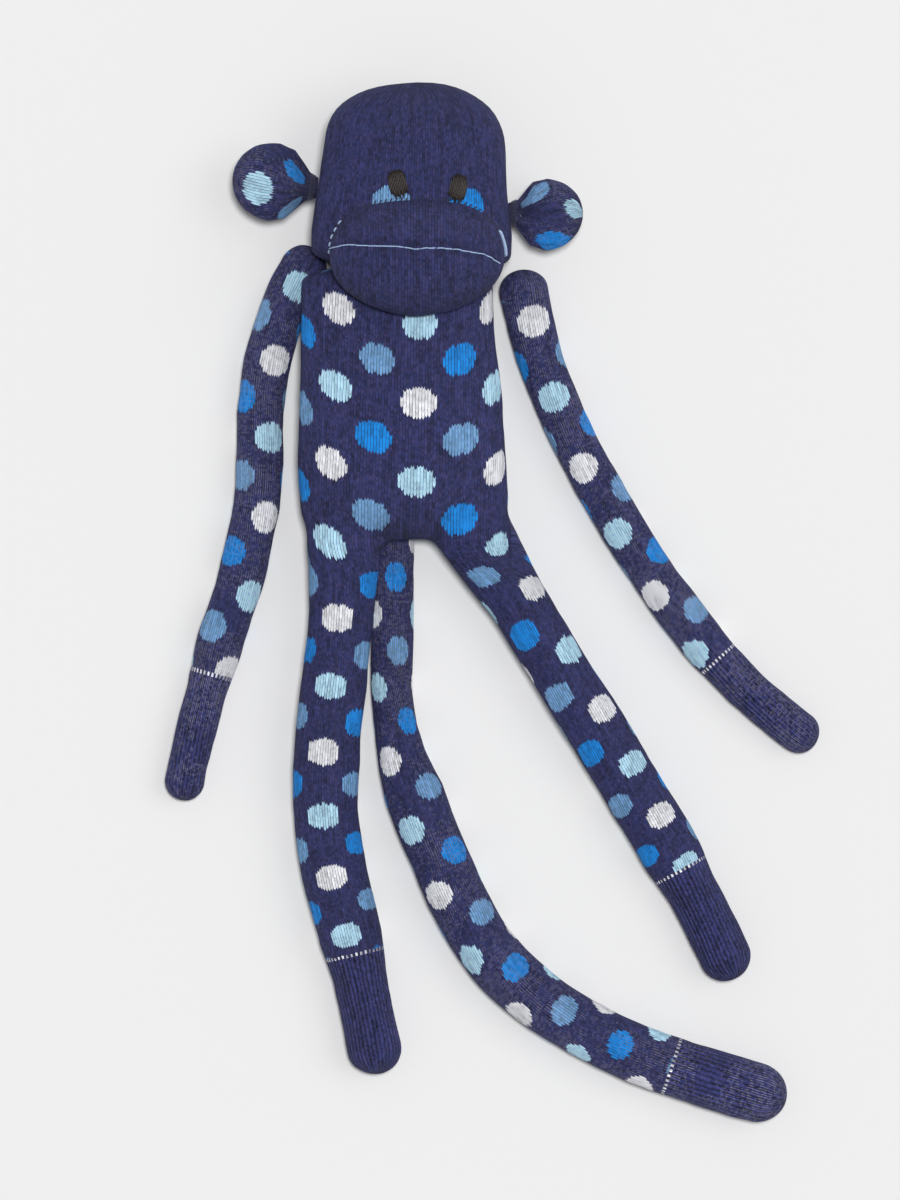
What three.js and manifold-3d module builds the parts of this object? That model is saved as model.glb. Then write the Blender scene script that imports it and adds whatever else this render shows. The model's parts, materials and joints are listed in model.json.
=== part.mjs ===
// A stuffed sock monkey lying on its back. Millimetres; +X is the toy's own left, +Y points from its
// feet to its crown and +Z rises from the surface it lies on to its face. "right" and "left" are the
// toy's own. Each stuffed piece is a knit skin, open where it is sewn on or folds, round a stuffing.
import * as THREE from "three";
import { mergeVertices } from "three/addons/utils/BufferGeometryUtils.js";
import Module from "manifold-3d";

const wasm = await Module();
wasm.setup();

// Cloth, stuffing and thread
const skinWall = 1.2;
const fillGap = 0.6; // between a skin and its stuffing
const touchGap = 0.3; // between pieces that are sewn together
const foldGap = 0.5; // between the two sides of a fold that moves
const settle = 1.5; // how far a stuffed piece sinks onto its flattened underside
const threadThick = 1.1;

// Torso: a knit tube, gathered at the neck
const neckY = 141;
const torsoX = -46.5;
const torsoHeading = -88;
const torsoLength = 117;
const torsoWidth = 102;
const torsoDepth = 62;
const torsoRound = 30; // length of its round lower end
const torsoSpread = 3; // the belly is this much wider than the middle, and the chest narrower
const neckWidth = 86;
const neckDepth = 52;
const neckLift = 3;
const neckStep = 4.5; // length over which the gathered neck opens out

// Head
const headLength = 118;
const headHeading = 88;
const headX = -41;
const headWidth = 94;
const headDepth = 66;
const headRound = 34;
const jawLength = 30;
const jawTaper = 5;
const eyeWidth = 10;
const eyeLength = 13;
const eyeThick = 5.2;
const eyeSpacing = 30;
const eyeRise = { right: 67.5, left: 65.5 }; // above the neck
const eyeShift = 7.4; // the face looks a little to the toy's left

// Muzzle: a stuffed oval sewn over the lower face
const muzzleWidth = 88;
const muzzleHeight = 59;
const muzzleRise = 30.8; // its middle, above the neck
const muzzleBase = 56;
const muzzleProud = 29;
const mouthRise = 4;

// Limbs. A route starts at a point, and its headings are spread evenly along its length.
const armLength = 275;
const armWidth = { right: 23.4, left: 22.4 };
const handWidth = { right: 20, left: 21 };
const shoulderRise = { right: 25.5, left: 13.5 }; // above the neck
const shoulderApart = { right: 0, left: 5 };
const elbowAt = 128; // from the shoulder
const armCuff = 66;
const legLength = { right: 268, left: 252 };
const legWidth = { right: 32.6, left: 30 };
const hipWidth = 37;
const footWidth = { right: 27, left: 26 };
const hipDrop = 14; // from the crotch line to the fold at the hip
const kneeAt = 142;
const legCuff = 62;
const thighLift = 8; // underside of the thigh, which rests on the tail

const tailLength = 389;
const tailX = -48.6;
const tailTuck = 6; // how far the tail reaches in under the torso
const tailWidth = 29.4;
const tailRootWidth = 21;
const tailRootLength = 106;
const tailTipLength = 150;
const limbRoundness = 0.95; // depth of a limb as a share of its width

// Ears
const earLength = { right: 43, left: 37.5 };
const earWidth = { right: 39.5, left: 36 };
const earThick = 23;
const earLift = 14;
const earRise = { right: 65.5, left: 53 };
const gatherWidth = 9;
const gatherThick = 8;

// How far each fold opens, in degrees
const headNod = 20;
const earFlap = 60;
const elbowFold = 80;
const hipFold = 90;
const kneeFold = 60;
const tailFold = 60;

const limbSides = 14;
const bodySides = 20;

const colours = {
  navy: 0x2e2a52,
  stuffing: 0xe9e6df,
  eye: 0x2b241f,
  paleThread: 0xa9c3e6,
  navyThread: 0x2a2748,
};

const radians = THREE.MathUtils.degToRad;
const monkey = new THREE.Group();

// A solid of manifold-3d made from a three.js geometry
function solidOf(geometry) {
  const bare = new THREE.BufferGeometry();
  bare.setAttribute("position", geometry.getAttribute("position"));
  bare.setIndex(geometry.index);
  const merged = mergeVertices(bare, 1e-4);
  const corners = merged.index.array;
  const kept = [];
  for (let i = 0; i < corners.length; i += 3) {
    const [a, b, c] = [corners[i], corners[i + 1], corners[i + 2]];
    if (a !== b && b !== c && c !== a) kept.push(a, b, c);
  }
  const mesh = {
    numProp: 3,
    vertProperties: merged.attributes.position.array,
    triVerts: new Uint32Array(kept),
  };
  const made = new wasm.Manifold(new wasm.Mesh(mesh));
  if (made.volume() > 0) return made;
  for (let i = 0; i < kept.length; i += 3) [kept[i + 1], kept[i + 2]] = [kept[i + 2], kept[i + 1]];
  return new wasm.Manifold(new wasm.Mesh({ ...mesh, triVerts: new Uint32Array(kept) }));
}

// One named mesh of the toy
function addPiece(name, solid, colour, roughness = 0.95) {
  const { vertProperties, triVerts } = solid.getMesh();
  const geometry = new THREE.BufferGeometry();
  geometry.setAttribute("position", new THREE.BufferAttribute(vertProperties, 3));
  geometry.setIndex(new THREE.BufferAttribute(triVerts, 1));
  geometry.computeVertexNormals();
  const material = new THREE.MeshStandardMaterial({ color: colour, roughness, metalness: 0 });
  const mesh = new THREE.Mesh(geometry, material);
  mesh.name = name;
  monkey.add(mesh);
}

// A value that runs straight between [share, value] pairs
function along(pairs, share) {
  let i = 1;
  while (i < pairs.length - 1 && share > pairs[i][0]) i += 1;
  const [from, low] = pairs[i - 1];
  const [to, high] = pairs[i];
  return low + (high - low) * THREE.MathUtils.clamp((share - from) / (to - from), 0, 1);
}

// The middle line of a piece, seen from above: at(s) gives the point and the unit directions
// ahead and to the side at the length s. It goes straight on past both ends.
function makeRoute(x, y, length, headings) {
  const steps = 120;
  const pairs = headings.map((heading, i) => [i / Math.max(1, headings.length - 1), heading]);
  const headingAt = (share) => (pairs.length > 1 ? along(pairs, share) : headings[0]);
  const points = [new THREE.Vector2(x, y)];
  for (let i = 0; i < steps; i += 1) {
    const turn = radians(headingAt((i + 0.5) / steps));
    const step = new THREE.Vector2(Math.cos(turn), Math.sin(turn)).multiplyScalar(length / steps);
    points.push(points[i].clone().add(step));
  }
  const at = (s) => {
    const i = THREE.MathUtils.clamp(Math.floor((s / length) * steps), 0, steps - 1);
    const turn = radians(headingAt(THREE.MathUtils.clamp(s / length, 0, 1)));
    const ahead = new THREE.Vector2(Math.cos(turn), Math.sin(turn));
    const here = points[i + 1].clone().sub(points[i]);
    here.multiplyScalar((s / length) * steps - i).add(points[i]);
    return { point: here, ahead, side: new THREE.Vector2(-ahead.y, ahead.x) };
  };
  return { at, length };
}

// Half of a rounded square's width or depth at an angle
function rounded(wave, power) {
  return Math.sign(wave) * Math.abs(wave) ** (2 / power);
}

// How much a round end of the given length narrows a section, with its wall inset
function endRound(distance, round, inset) {
  if (round === 0 || distance >= round) return 1;
  const share = Math.min(1, (round - distance) / (round - inset));
  return Math.sqrt(1 - share * share);
}

// One corner of a ring round a piece's route
function ringPoint(piece, ring, angle, inset) {
  const { route, power, sinks } = piece;
  const half = piece.width(ring.s) / 2 - inset;
  const deep = piece.depth(ring.s) / 2 - inset;
  const ends = endRound(ring.s, piece.startRound, inset) *
    endRound(route.length - ring.s, piece.endRound, inset);
  const offset = half * ends * ring.spread * rounded(Math.cos(angle), power);
  const middle = piece.lift(ring.s) + piece.depth(ring.s) / 2 - sinks;
  const raised = middle + deep * ends * ring.spread * rounded(Math.sin(angle), power);
  const z = Math.max(raised, piece.lift(ring.s) + inset);
  const { point, ahead, side } = route.at(ring.s);
  let forward = 0;
  if (ring.fold) {
    const { normal, slope, height } = ring.fold;
    const open = foldGap / 2 + slope * Math.max(0, z - height) - (ring.past ?? 0);
    forward = (ring.way * open - offset * side.dot(normal)) / ahead.dot(normal);
  }
  return new THREE.Vector3(
    point.x + side.x * offset + ahead.x * forward,
    point.y + side.y * offset + ahead.y * forward,
    z,
  );
}

// The rings of a piece between two ends. An end is a fold, a round end (null) or a plain length.
function ringsOf(piece, start, end, inset, past) {
  const { reach, spacing } = piece;
  const roundAngles = [0, 30, 58, 90].map(radians);
  const total = piece.route.length;
  const before = [];
  const after = [];
  let low = start;
  let high = end;
  if (start === null) {
    const round = piece.startRound;
    for (const t of roundAngles) {
      before.push({ s: round - (round - inset) * Math.cos(t), spread: 1 });
    }
    low = round;
  } else if (start.at !== undefined) {
    before.push({ s: start.at, spread: 1, fold: start, way: 1, past });
    low = start.at + reach - spacing;
  } else {
    before.push({ s: start, spread: 1 });
  }
  if (end === null) {
    const round = piece.endRound;
    for (const t of [...roundAngles].reverse()) {
      after.push({ s: total - round + (round - inset) * Math.cos(t), spread: 1 });
    }
    high = total - round;
  } else if (end.at !== undefined) {
    after.push({ s: end.at, spread: 1, fold: end, way: -1, past });
    high = end.at - reach + spacing;
  } else {
    after.push({ s: end, spread: 1 });
  }
  const count = Math.max(2, Math.round((high - low) / spacing));
  const between = [];
  for (let i = 1; i < count; i += 1) {
    between.push({ s: low + ((high - low) * i) / count, spread: 1 });
  }
  return [...before, ...between, ...after];
}

// A lathe of unit radius bent along the piece: each lathe point is one ring
function bend(piece, rings, sides) {
  const outline = rings.map((ring, i) => new THREE.Vector2(ring.spread === 0 ? 0 : 1, i));
  const geometry = new THREE.LatheGeometry(outline, sides);
  const position = geometry.getAttribute("position");
  for (let i = 0; i < position.count; i += 1) {
    const ring = rings[i % rings.length];
    const angle = (Math.floor(i / rings.length) / sides) * 2 * Math.PI;
    const { x, y, z } = ringPoint(piece, ring, angle, ring.inset);
    position.setXYZ(i, x, y, z);
  }
  return solidOf(geometry);
}

// A full solid of the piece between two ends, its surface set in by the inset
function fullSolid(piece, start, end, inset, past = 0) {
  const rings = ringsOf(piece, start, end, inset, past).map((ring) => ({ ...ring, inset }));
  const first = { ...rings[0], spread: 0 };
  const last = { ...rings.at(-1), spread: 0 };
  return bend(piece, [first, ...rings, last], piece.sides);
}

// The knit skin round a piece between two ends: its wall, open at every end that isn't round
function skinSolid(piece, start, end) {
  const outer = ringsOf(piece, start, end, 0, 0).map((ring) => ({ ...ring, inset: 0 }));
  const inner = ringsOf(piece, start, end, skinWall, 0).map((ring) => ({ ...ring, inset: skinWall }));
  const rings = [...outer, ...inner.reverse()];
  if (start !== null && end !== null) return bend(piece, [...rings, rings[0]], piece.sides);
  if (start === null) return bend(piece, [{ ...outer[0], spread: 0 }, ...outer, ...inner,
    { ...inner.at(-1), spread: 0 }], piece.sides);
  const back = [...outer].reverse();
  const front = [...inner].reverse();
  return bend(piece, [{ ...back[0], spread: 0 }, ...back, ...front,
    { ...front.at(-1), spread: 0 }], piece.sides);
}

// A skin and its stuffing
function addStuffed(name, piece, start, end) {
  addPiece(`${name}_skin`, skinSolid(piece, start, end), colours.navy);
  const filling = fullSolid(piece, start, end, skinWall + fillGap);
  addPiece(`${name}_stuffing`, filling, colours.stuffing, 1);
}

// A fold across a piece: the hinge line lies at half the depth above the middle, and both sides
// lean back above it so that they close up when the fold is shut.
function foldAt(piece, s, range, heading, rise = 0.5) {
  const { ahead } = piece.route.at(s);
  const turn = heading === undefined ? Math.atan2(ahead.y, ahead.x) : radians(heading);
  const depth = piece.depth(s);
  const height = piece.lift(s) + (depth / 2) * (1 + rise) - piece.sinks;
  const normal = new THREE.Vector2(Math.cos(turn), Math.sin(turn));
  return { at: s, normal, height, slope: Math.tan(radians(range / 2)) };
}

// An empty group at a hinge, turned so that its own X axis is the hinge line
function markHinge(name, piece, fold) {
  const { point } = piece.route.at(fold.at);
  const hinge = new THREE.Group();
  hinge.name = name;
  hinge.position.set(point.x, point.y, fold.height);
  hinge.rotation.z = Math.atan2(fold.normal.y, fold.normal.x) + Math.PI / 2;
  monkey.add(hinge);
}

// A thread drawn tight round a piece
function threadRound(piece, s) {
  const rings = [];
  const middle = threadThick / 2;
  for (let i = 0; i <= 6; i += 1) {
    const turn = (i / 6) * 2 * Math.PI;
    const inset = -touchGap - middle - middle * Math.cos(turn);
    rings.push({ s: s + middle * Math.sin(turn), spread: 1, inset });
  }
  return bend(piece, rings, piece.sides);
}

// A thread that follows a list of points
function threadAlong(points) {
  const shape = new THREE.Shape();
  shape.absarc(0, 0, threadThick / 2, 0, 2 * Math.PI);
  const extrudePath = new THREE.CatmullRomCurve3(points);
  const settings = { steps: points.length * 2, curveSegments: 3, bevelEnabled: false, extrudePath };
  return solidOf(new THREE.ExtrudeGeometry(shape, settings));
}

// The top surface of a piece at a length and an offset to its side
function topOf(piece, s, offset) {
  const share = Math.min(1, Math.abs(offset) / (piece.width(s) / 2));
  const crown = (piece.depth(s) / 2) * (1 - share ** piece.power) ** (1 / piece.power);
  return piece.lift(s) + piece.depth(s) / 2 - piece.sinks + crown;
}

const flat = () => 0;

// ---- The pieces' shapes ----

const torso = {
  route: makeRoute(torsoX, neckY, torsoLength, [torsoHeading]),
  width: (s) => along([[0, neckWidth], [neckStep, torsoWidth - 2 * torsoSpread],
    [3 * neckStep, torsoWidth - torsoSpread], [0.6 * torsoLength, torsoWidth + torsoSpread]], s),
  depth: (s) => along([[0, neckDepth], [2 * neckStep, torsoDepth - torsoSpread],
    [0.3 * torsoLength, torsoDepth]], s),
  lift: (s) => along([[0, neckLift], [2 * neckStep, 0]], s),
  startRound: 0,
  endRound: torsoRound,
  power: 2.5,
  sides: bodySides,
  sinks: settle,
  reach: 13,
  spacing: 20,
};

const head = {
  route: makeRoute(headX, neckY, headLength, [headHeading]),
  width: (s) => along([[0, neckWidth], [jawLength / 2, headWidth - jawTaper],
    [jawLength, headWidth]], s),
  depth: (s) => along([[0, neckDepth], [jawLength / 2, headDepth - jawTaper],
    [jawLength, headDepth]], s),
  lift: (s) => along([[0, neckLift], [2 * neckStep, 0]], s),
  startRound: 0,
  endRound: headRound,
  power: 2.5,
  sides: bodySides,
  sinks: settle,
  reach: 13,
  spacing: 20,
};

function makeLimb(route, width, lift, startRound, endRound) {
  return {
    route,
    width,
    lift,
    startRound,
    endRound,
    depth: (s) => width(s) * limbRoundness,
    power: 2,
    sides: limbSides,
    sinks: settle,
    reach: 18,
    spacing: 20,
  };
}

// Half of a piece's width at a height above the surface it lies on
function reachAt(piece, s, z) {
  const deep = piece.depth(s) / 2;
  const share = Math.min(1, Math.abs(z - piece.lift(s) - deep + piece.sinks) / deep);
  return (piece.width(s) / 2) * (1 - share ** piece.power) ** (1 / piece.power);
}

// How far apart the middles of two pieces lie when they touch side by side
function sideBySide(one, s, other, t) {
  const top = other.depth(t);
  let apart = 0;
  for (let z = 0; z <= top; z += top / 24) {
    apart = Math.max(apart, reachAt(one, s, z) + reachAt(other, t, z));
  }
  return apart + touchGap + foldGap;
}

// The length along a route that runs towards the feet at which it reaches a height on the page
function lengthAt(route, y) {
  let [low, high] = [-40, route.length];
  for (let i = 0; i < 30; i += 1) {
    const half = (low + high) / 2;
    if (route.at(half).point.y > y) low = half;
    else high = half;
  }
  return (low + high) / 2;
}

// How much further out a piece has to lie, from one length to another, to stay clear of its neighbour
function outwardShift(piece, neighbour, out, from, to) {
  let shift = 0;
  for (let s = from; s <= to; s += 4) {
    const { point, ahead } = piece.route.at(s);
    const t = lengthAt(neighbour.route, point.y);
    if (t < 0 || t > neighbour.route.length - neighbour.endRound) continue;
    const apart = out * (point.x - neighbour.route.at(t).point.x);
    const needed = sideBySide(neighbour, t, piece, s) / Math.abs(ahead.y);
    shift = Math.max(shift, needed - apart);
  }
  return shift;
}

// The shoulder is the middle of the arm's round upper end, close beside the lower head.
function makeArm(side, headings) {
  const out = side === "right" ? -1 : 1;
  const top = armWidth[side] / 2;
  const wrist = armLength - armCuff;
  const width = (s) => along([[wrist, armWidth[side]], [wrist + 20, handWidth[side]]], s);
  const shape = makeLimb(makeRoute(0, 0, 1, headings), width, flat, 0, 0);
  const neckSide = head.route.at(shoulderRise[side]).point;
  const apart = sideBySide(head, shoulderRise[side], shape, 0) + shoulderApart[side];
  const { ahead } = shape.route.at(0);
  const x = neckSide.x + out * apart - ahead.x * top;
  const y = neckSide.y - ahead.y * top;
  const length = armLength + top;
  const arm = makeLimb(makeRoute(x, y, length, headings), width, flat, top, handWidth[side] / 2);
  const shift = outwardShift(arm, torso, out, top, elbowAt);
  return { ...arm, route: makeRoute(x + out * shift, y, length, headings) };
}

function makeLeg(side, x, y, headings) {
  const ankle = legLength[side] - legCuff;
  const width = (s) => along([[0, hipWidth], [34, legWidth[side]], [ankle - 8, legWidth[side]],
    [ankle + 12, footWidth[side]]], s);
  const lift = (s) => along([[0, thighLift], [kneeAt - 50, thighLift * 0.8], [kneeAt - 5, 0]], s);
  return makeLimb(makeRoute(x, y, legLength[side], headings), width, lift, 0, footWidth[side] / 2);
}

const crotchY = neckY - torsoLength + 4;
const arms = {
  right: makeArm("right", [-124, -90, -109, -100]),
  left: makeArm("left", [-82, -62, -54, -34]),
};
const legs = {
  right: makeLeg("right", -73.3, crotchY, [-91, -98, -75, -81]),
  left: makeLeg("left", -4.3, crotchY, [-58, -58, -59, -66]),
};

// The tail lies under the crotch and close beside the right thigh, then curls away to the left.
function makeTail() {
  const headings = [-91, -91, -70, -64, -34, -19, -14];
  const width = (s) => along([[tailRootLength - 8, tailRootWidth],
    [tailRootLength + 26, tailWidth]], s);
  const y = crotchY + tailTuck;
  const tail = makeLimb(makeRoute(tailX, y, tailLength, headings), width, flat, 0, tailWidth / 2);
  const shift = outwardShift(tail, legs.right, 1, tailTuck, tailRootLength);
  return { ...tail, route: makeRoute(tailX + shift, y, tailLength, headings) };
}

const tail = makeTail();

function makeEar(side, heading) {
  const out = side === "right" ? -1 : 1;
  const rise = earRise[side];
  const { point } = head.route.at(rise);
  const x = point.x + out * (head.width(rise) / 2 + touchGap + foldGap);
  const length = earLength[side];
  const wide = earWidth[side];
  return {
    route: makeRoute(x, point.y, length, [heading]),
    width: (s) => along([[0, gatherWidth], [5, gatherWidth + 4], [length * 0.32, wide * 0.86],
      [length * 0.5, wide]], s),
    depth: (s) => along([[0, gatherThick], [length * 0.35, earThick * 0.9],
      [length * 0.5, earThick]], s),
    lift: (s) => earLift + (earThick - along([[0, gatherThick], [length * 0.35, earThick * 0.9],
      [length * 0.5, earThick]], s)) / 2,
    startRound: 0,
    endRound: length * 0.5,
    power: 2,
    sides: limbSides,
    sinks: 0,
    reach: 5,
    spacing: 8,
  };
}

const ears = { right: makeEar("right", 172), left: makeEar("left", -2) };

// ---- Torso and neck ----

const neckFold = foldAt(torso, 0, headNod, -90, 1);
const headFold = { ...neckFold, normal: new THREE.Vector2(0, 1) };
const hips = {};
for (const [side, leg] of Object.entries(legs)) {
  const { ahead } = leg.route.at(0);
  hips[side] = foldAt(leg, hipDrop / Math.abs(ahead.y), hipFold, -90);
}

const stubReach = 26; // how far the top of a leg reaches up into the torso

function torsoSolid(inset, past) {
  let whole = fullSolid(torso, neckFold, null, inset, past);
  for (const side of ["right", "left"]) {
    whole = whole.add(fullSolid(legs[side], -stubReach, hips[side], inset, past));
  }
  return whole;
}

const torsoHollow = torsoSolid(skinWall, 3);
addPiece("torso_skin", torsoSolid(0, 0).subtract(torsoHollow), colours.navy);
addPiece("torso_stuffing", torsoSolid(skinWall + fillGap, 0), colours.stuffing, 1);
addPiece("neck_thread", threadRound(torso, 2.2), colours.navyThread);

// ---- Head, muzzle, mouth and eyes ----

addStuffed("head", head, headFold, null);
markHinge("head_nod", torso, neckFold);
const headClear = fullSolid(head, headFold, null, -touchGap);

const muzzleMiddle = head.route.at(muzzleRise).point;

function muzzleOval(inset) {
  const oval = new THREE.SphereGeometry(1, 28, 16);
  oval.rotateX(Math.PI / 2);
  oval.scale(muzzleWidth / 2 - inset, muzzleHeight / 2 - inset, muzzleProud - inset);
  oval.translate(muzzleMiddle.x, muzzleMiddle.y, muzzleBase);
  return solidOf(oval);
}

const muzzleShell = muzzleOval(0).subtract(muzzleOval(skinWall));
addPiece("muzzle_skin", muzzleShell.subtract(headClear), colours.navy);
const muzzleFilling = muzzleOval(skinWall + fillGap).subtract(headClear);
addPiece("muzzle_stuffing", muzzleFilling, colours.stuffing, 1);

// A point that floats just off the muzzle's surface, at offsets from its middle
function overMuzzle(x, y) {
  const bulge = Math.sqrt(1 - (x / (muzzleWidth / 2)) ** 2 - (y / (muzzleHeight / 2)) ** 2);
  const off = touchGap + threadThick / 2;
  return new THREE.Vector3(muzzleMiddle.x + x, muzzleMiddle.y + y, muzzleBase + off + muzzleProud * bulge);
}

const mouthPoints = [];
for (let i = -10; i <= 10; i += 1) {
  const x = (i / 10) * muzzleWidth * 0.46;
  mouthPoints.push(overMuzzle(x, mouthRise - 0.0012 * x * x));
}
addPiece("mouth_stitch", threadAlong(mouthPoints), colours.paleThread);

// A point that floats just off the front of the face, or null where the head turns away to its side
function overFace(x, y, off) {
  const s = y - neckY;
  const offset = x - head.route.at(s).point.x;
  if (Math.abs(offset) > 0.45 * head.width(s)) return null;
  const z = topOf(head, s, offset);
  const slope = topOf(head, s, Math.abs(offset) + 0.5) - topOf(head, s, Math.abs(offset) - 0.5);
  return new THREE.Vector3(x, y, z + off * Math.hypot(1, slope));
}

const seamPoints = [];
for (let i = 0; i <= 22; i += 1) {
  const turn = radians(-8 + (196 * i) / 22);
  const [across, up] = [Math.cos(turn), Math.sin(turn)];
  const off = threadThick + touchGap;
  const rim = topOf(head, muzzleRise + (up * muzzleHeight) / 2, (across * muzzleWidth) / 2);
  const shrink = Math.sqrt(1 - (Math.max(0, rim - muzzleBase) / muzzleProud) ** 2);
  const x = muzzleMiddle.x + ((muzzleWidth / 2) * shrink + off) * across;
  const y = muzzleMiddle.y + ((muzzleHeight / 2) * shrink + off) * up;
  const point = overFace(x, y, off);
  if (point) seamPoints.push(point);
}
addPiece("muzzle_seam_thread", threadAlong(seamPoints), colours.navyThread);

for (const [side, out, tilt] of [["right", -1, 12], ["left", 1, -12]]) {
  const eye = new THREE.SphereGeometry(1, 14, 8);
  eye.rotateX(Math.PI / 2);
  eye.scale(eyeWidth / 2, eyeLength / 2, eyeThick / 2);
  eye.rotateZ(radians(tilt));
  const { point } = head.route.at(eyeRise[side]);
  const x = (out * eyeSpacing) / 2 + eyeShift;
  eye.translate(point.x + x, point.y, topOf(head, eyeRise[side], x));
  addPiece(`eye_${side}`, solidOf(eye).subtract(headClear), colours.eye, 0.5);
}

// ---- Ears ----

for (const [side, ear] of Object.entries(ears)) {
  const fold = foldAt(ear, 0, earFlap, undefined, 1);
  addStuffed(`ear_${side}`, ear, fold, null);
  addPiece(`ear_${side}_thread`, threadRound(ear, 2.5), colours.navyThread);
  markHinge(`ear_flap_${side}`, ear, fold);
}

// ---- Arms ----

for (const [side, arm] of Object.entries(arms)) {
  const shoulder = arm.startRound;
  const elbow = foldAt(arm, shoulder + elbowAt, elbowFold);
  addStuffed(`upper_arm_${side}`, arm, null, elbow);
  addStuffed(`forearm_${side}`, arm, elbow, null);
  markHinge(`shoulder_${side}`, arm, { at: shoulder, normal: new THREE.Vector2(0, -1), height: 0 });
  markHinge(`elbow_${side}`, arm, elbow);
}

// ---- Legs ----

for (const [side, leg] of Object.entries(legs)) {
  const knee = foldAt(leg, kneeAt, kneeFold);
  addStuffed(`thigh_${side}`, leg, hips[side], knee);
  addStuffed(`shin_${side}`, leg, knee, null);
  markHinge(`hip_${side}`, leg, hips[side]);
  markHinge(`knee_${side}`, leg, knee);
}

// ---- Tail ----

const torsoClear = torsoSolid(-touchGap, 0);
const tailMiddle = foldAt(tail, tailRootLength, tailFold);
const tailEnd = foldAt(tail, tailLength - tailTipLength, tailFold);
addPiece("tail_root_skin", skinSolid(tail, 0, tailMiddle).subtract(torsoClear), colours.navy);
const rootFilling = fullSolid(tail, 0, tailMiddle, skinWall + fillGap).subtract(torsoClear);
addPiece("tail_root_stuffing", rootFilling, colours.stuffing, 1);
addStuffed("tail_middle", tail, tailMiddle, tailEnd);
addStuffed("tail_tip", tail, tailEnd, null);
markHinge("tail_lift", tail, tailMiddle);
markHinge("tail_curl", tail, tailEnd);

// The origin is under the middle of the whole toy, on the surface it lies on.
const box = new THREE.Box3().setFromObject(monkey);
const middle = box.getCenter(new THREE.Vector3());
for (const child of monkey.children) child.position.x -= middle.x;
for (const child of monkey.children) child.position.y -= middle.y;
for (const child of monkey.children) child.position.z -= box.min.z;

export default monkey;
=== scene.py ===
"""A stuffed sock monkey lying on its back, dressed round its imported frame.

Every size is in metres. +X is the toy's own left, +Y runs from its feet to its crown and +Z rises
from the surface it lies on. "right" and "left" are the toy's own.
"""

import json
import math

import bmesh
import bpy
import numpy as np
from bpy.props import FloatProperty, FloatVectorProperty, PointerProperty
from mathutils import Matrix, Vector, noise


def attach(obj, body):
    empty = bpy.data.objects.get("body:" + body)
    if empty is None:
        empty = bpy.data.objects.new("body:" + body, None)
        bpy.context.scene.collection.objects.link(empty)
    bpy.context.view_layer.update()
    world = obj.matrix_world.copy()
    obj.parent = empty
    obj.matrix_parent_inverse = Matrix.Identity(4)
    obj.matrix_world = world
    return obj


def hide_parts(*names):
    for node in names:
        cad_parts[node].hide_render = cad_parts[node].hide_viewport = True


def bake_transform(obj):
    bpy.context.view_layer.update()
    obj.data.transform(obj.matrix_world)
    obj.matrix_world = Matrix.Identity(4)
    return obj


bl_info = {
    "name": "Sock Monkey",
    "version": (1, 0, 0),
    "blender": (4, 5, 0),
    "location": "View3D > Sidebar > Sock Monkey",
    "description": "Dresses a stuffed sock monkey in spotted knit round its packed frame",
    "category": "Object",
}

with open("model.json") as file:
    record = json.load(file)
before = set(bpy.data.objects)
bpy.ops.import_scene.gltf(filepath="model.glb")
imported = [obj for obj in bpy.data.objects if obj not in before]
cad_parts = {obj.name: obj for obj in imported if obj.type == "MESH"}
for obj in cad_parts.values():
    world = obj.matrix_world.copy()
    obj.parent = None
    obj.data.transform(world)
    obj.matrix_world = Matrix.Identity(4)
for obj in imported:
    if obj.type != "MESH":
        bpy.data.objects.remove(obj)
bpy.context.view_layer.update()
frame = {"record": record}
HINGES = {
    joint["name"]: np.array(joint["pos_m"]) for joint in frame["record"]["behaviour"]["joints"]
}
MM = 0.001
SIDES = ("right", "left")

# Stitches of one step of the dot pattern, across and along the knit
COLUMN_WALES = 14
ROW_COURSES = 36

# How far the torso reaches above the fold at the neck, and where the head starts above it
SHOULDERS = 29 * MM
JAW = 23 * MM

# How far up from its end each kind of limb is ribbed
CUFFS = {"arm": 66 * MM, "leg": 62 * MM, "tail": 61 * MM}

# Share of flecks in the knit of the limbs and ears, which is stretched thin
STRETCHED = 0.22

# Where along each piece the distance round it is measured for its knit
GIRTH_AT = {"torso": 80 * MM, "head": 40 * MM, "leg": 60 * MM, "arm": 100 * MM, "tail": 200 * MM}

# Height above the floor at which the hips part into a front and a back
WAIST = 25 * MM

# The distance round the torso over which its courses bow once down and up again
BELLY_GIRTH = 271.3 * MM

# Headings of the middle lines in degrees, spread evenly along each piece
HEADINGS = {
    "torso": (-88,),
    "head": (88,),
    "arm_right": (-124, -90, -109, -100),
    "arm_left": (-82, -62, -54, -34),
    "leg_right": (-91, -98, -75, -81),
    "leg_left": (-58, -58, -59, -66),
    "tail": (-91, -91, -70, -64, -34, -19, -14),
    "ear_right": (172,),
    "ear_left": (-2,),
}


def size(label, default, about):
    """A length that a user may change."""
    return FloatProperty(
        name=label, description=about, default=default, min=0.0, soft_max=0.6, unit="LENGTH"
    )


def colour(label, code, about):
    """A colour that a user may change, from its screen code."""
    parts = [int(code[i:i + 2], 16) / 255 for i in (0, 2, 4)]
    linear = [p / 12.92 if p <= 0.04045 else ((p + 0.055) / 1.055) ** 2.4 for p in parts]
    return FloatVectorProperty(
        name=label, description=about, default=linear, min=0.0, max=1.0, subtype="COLOR"
    )


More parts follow.
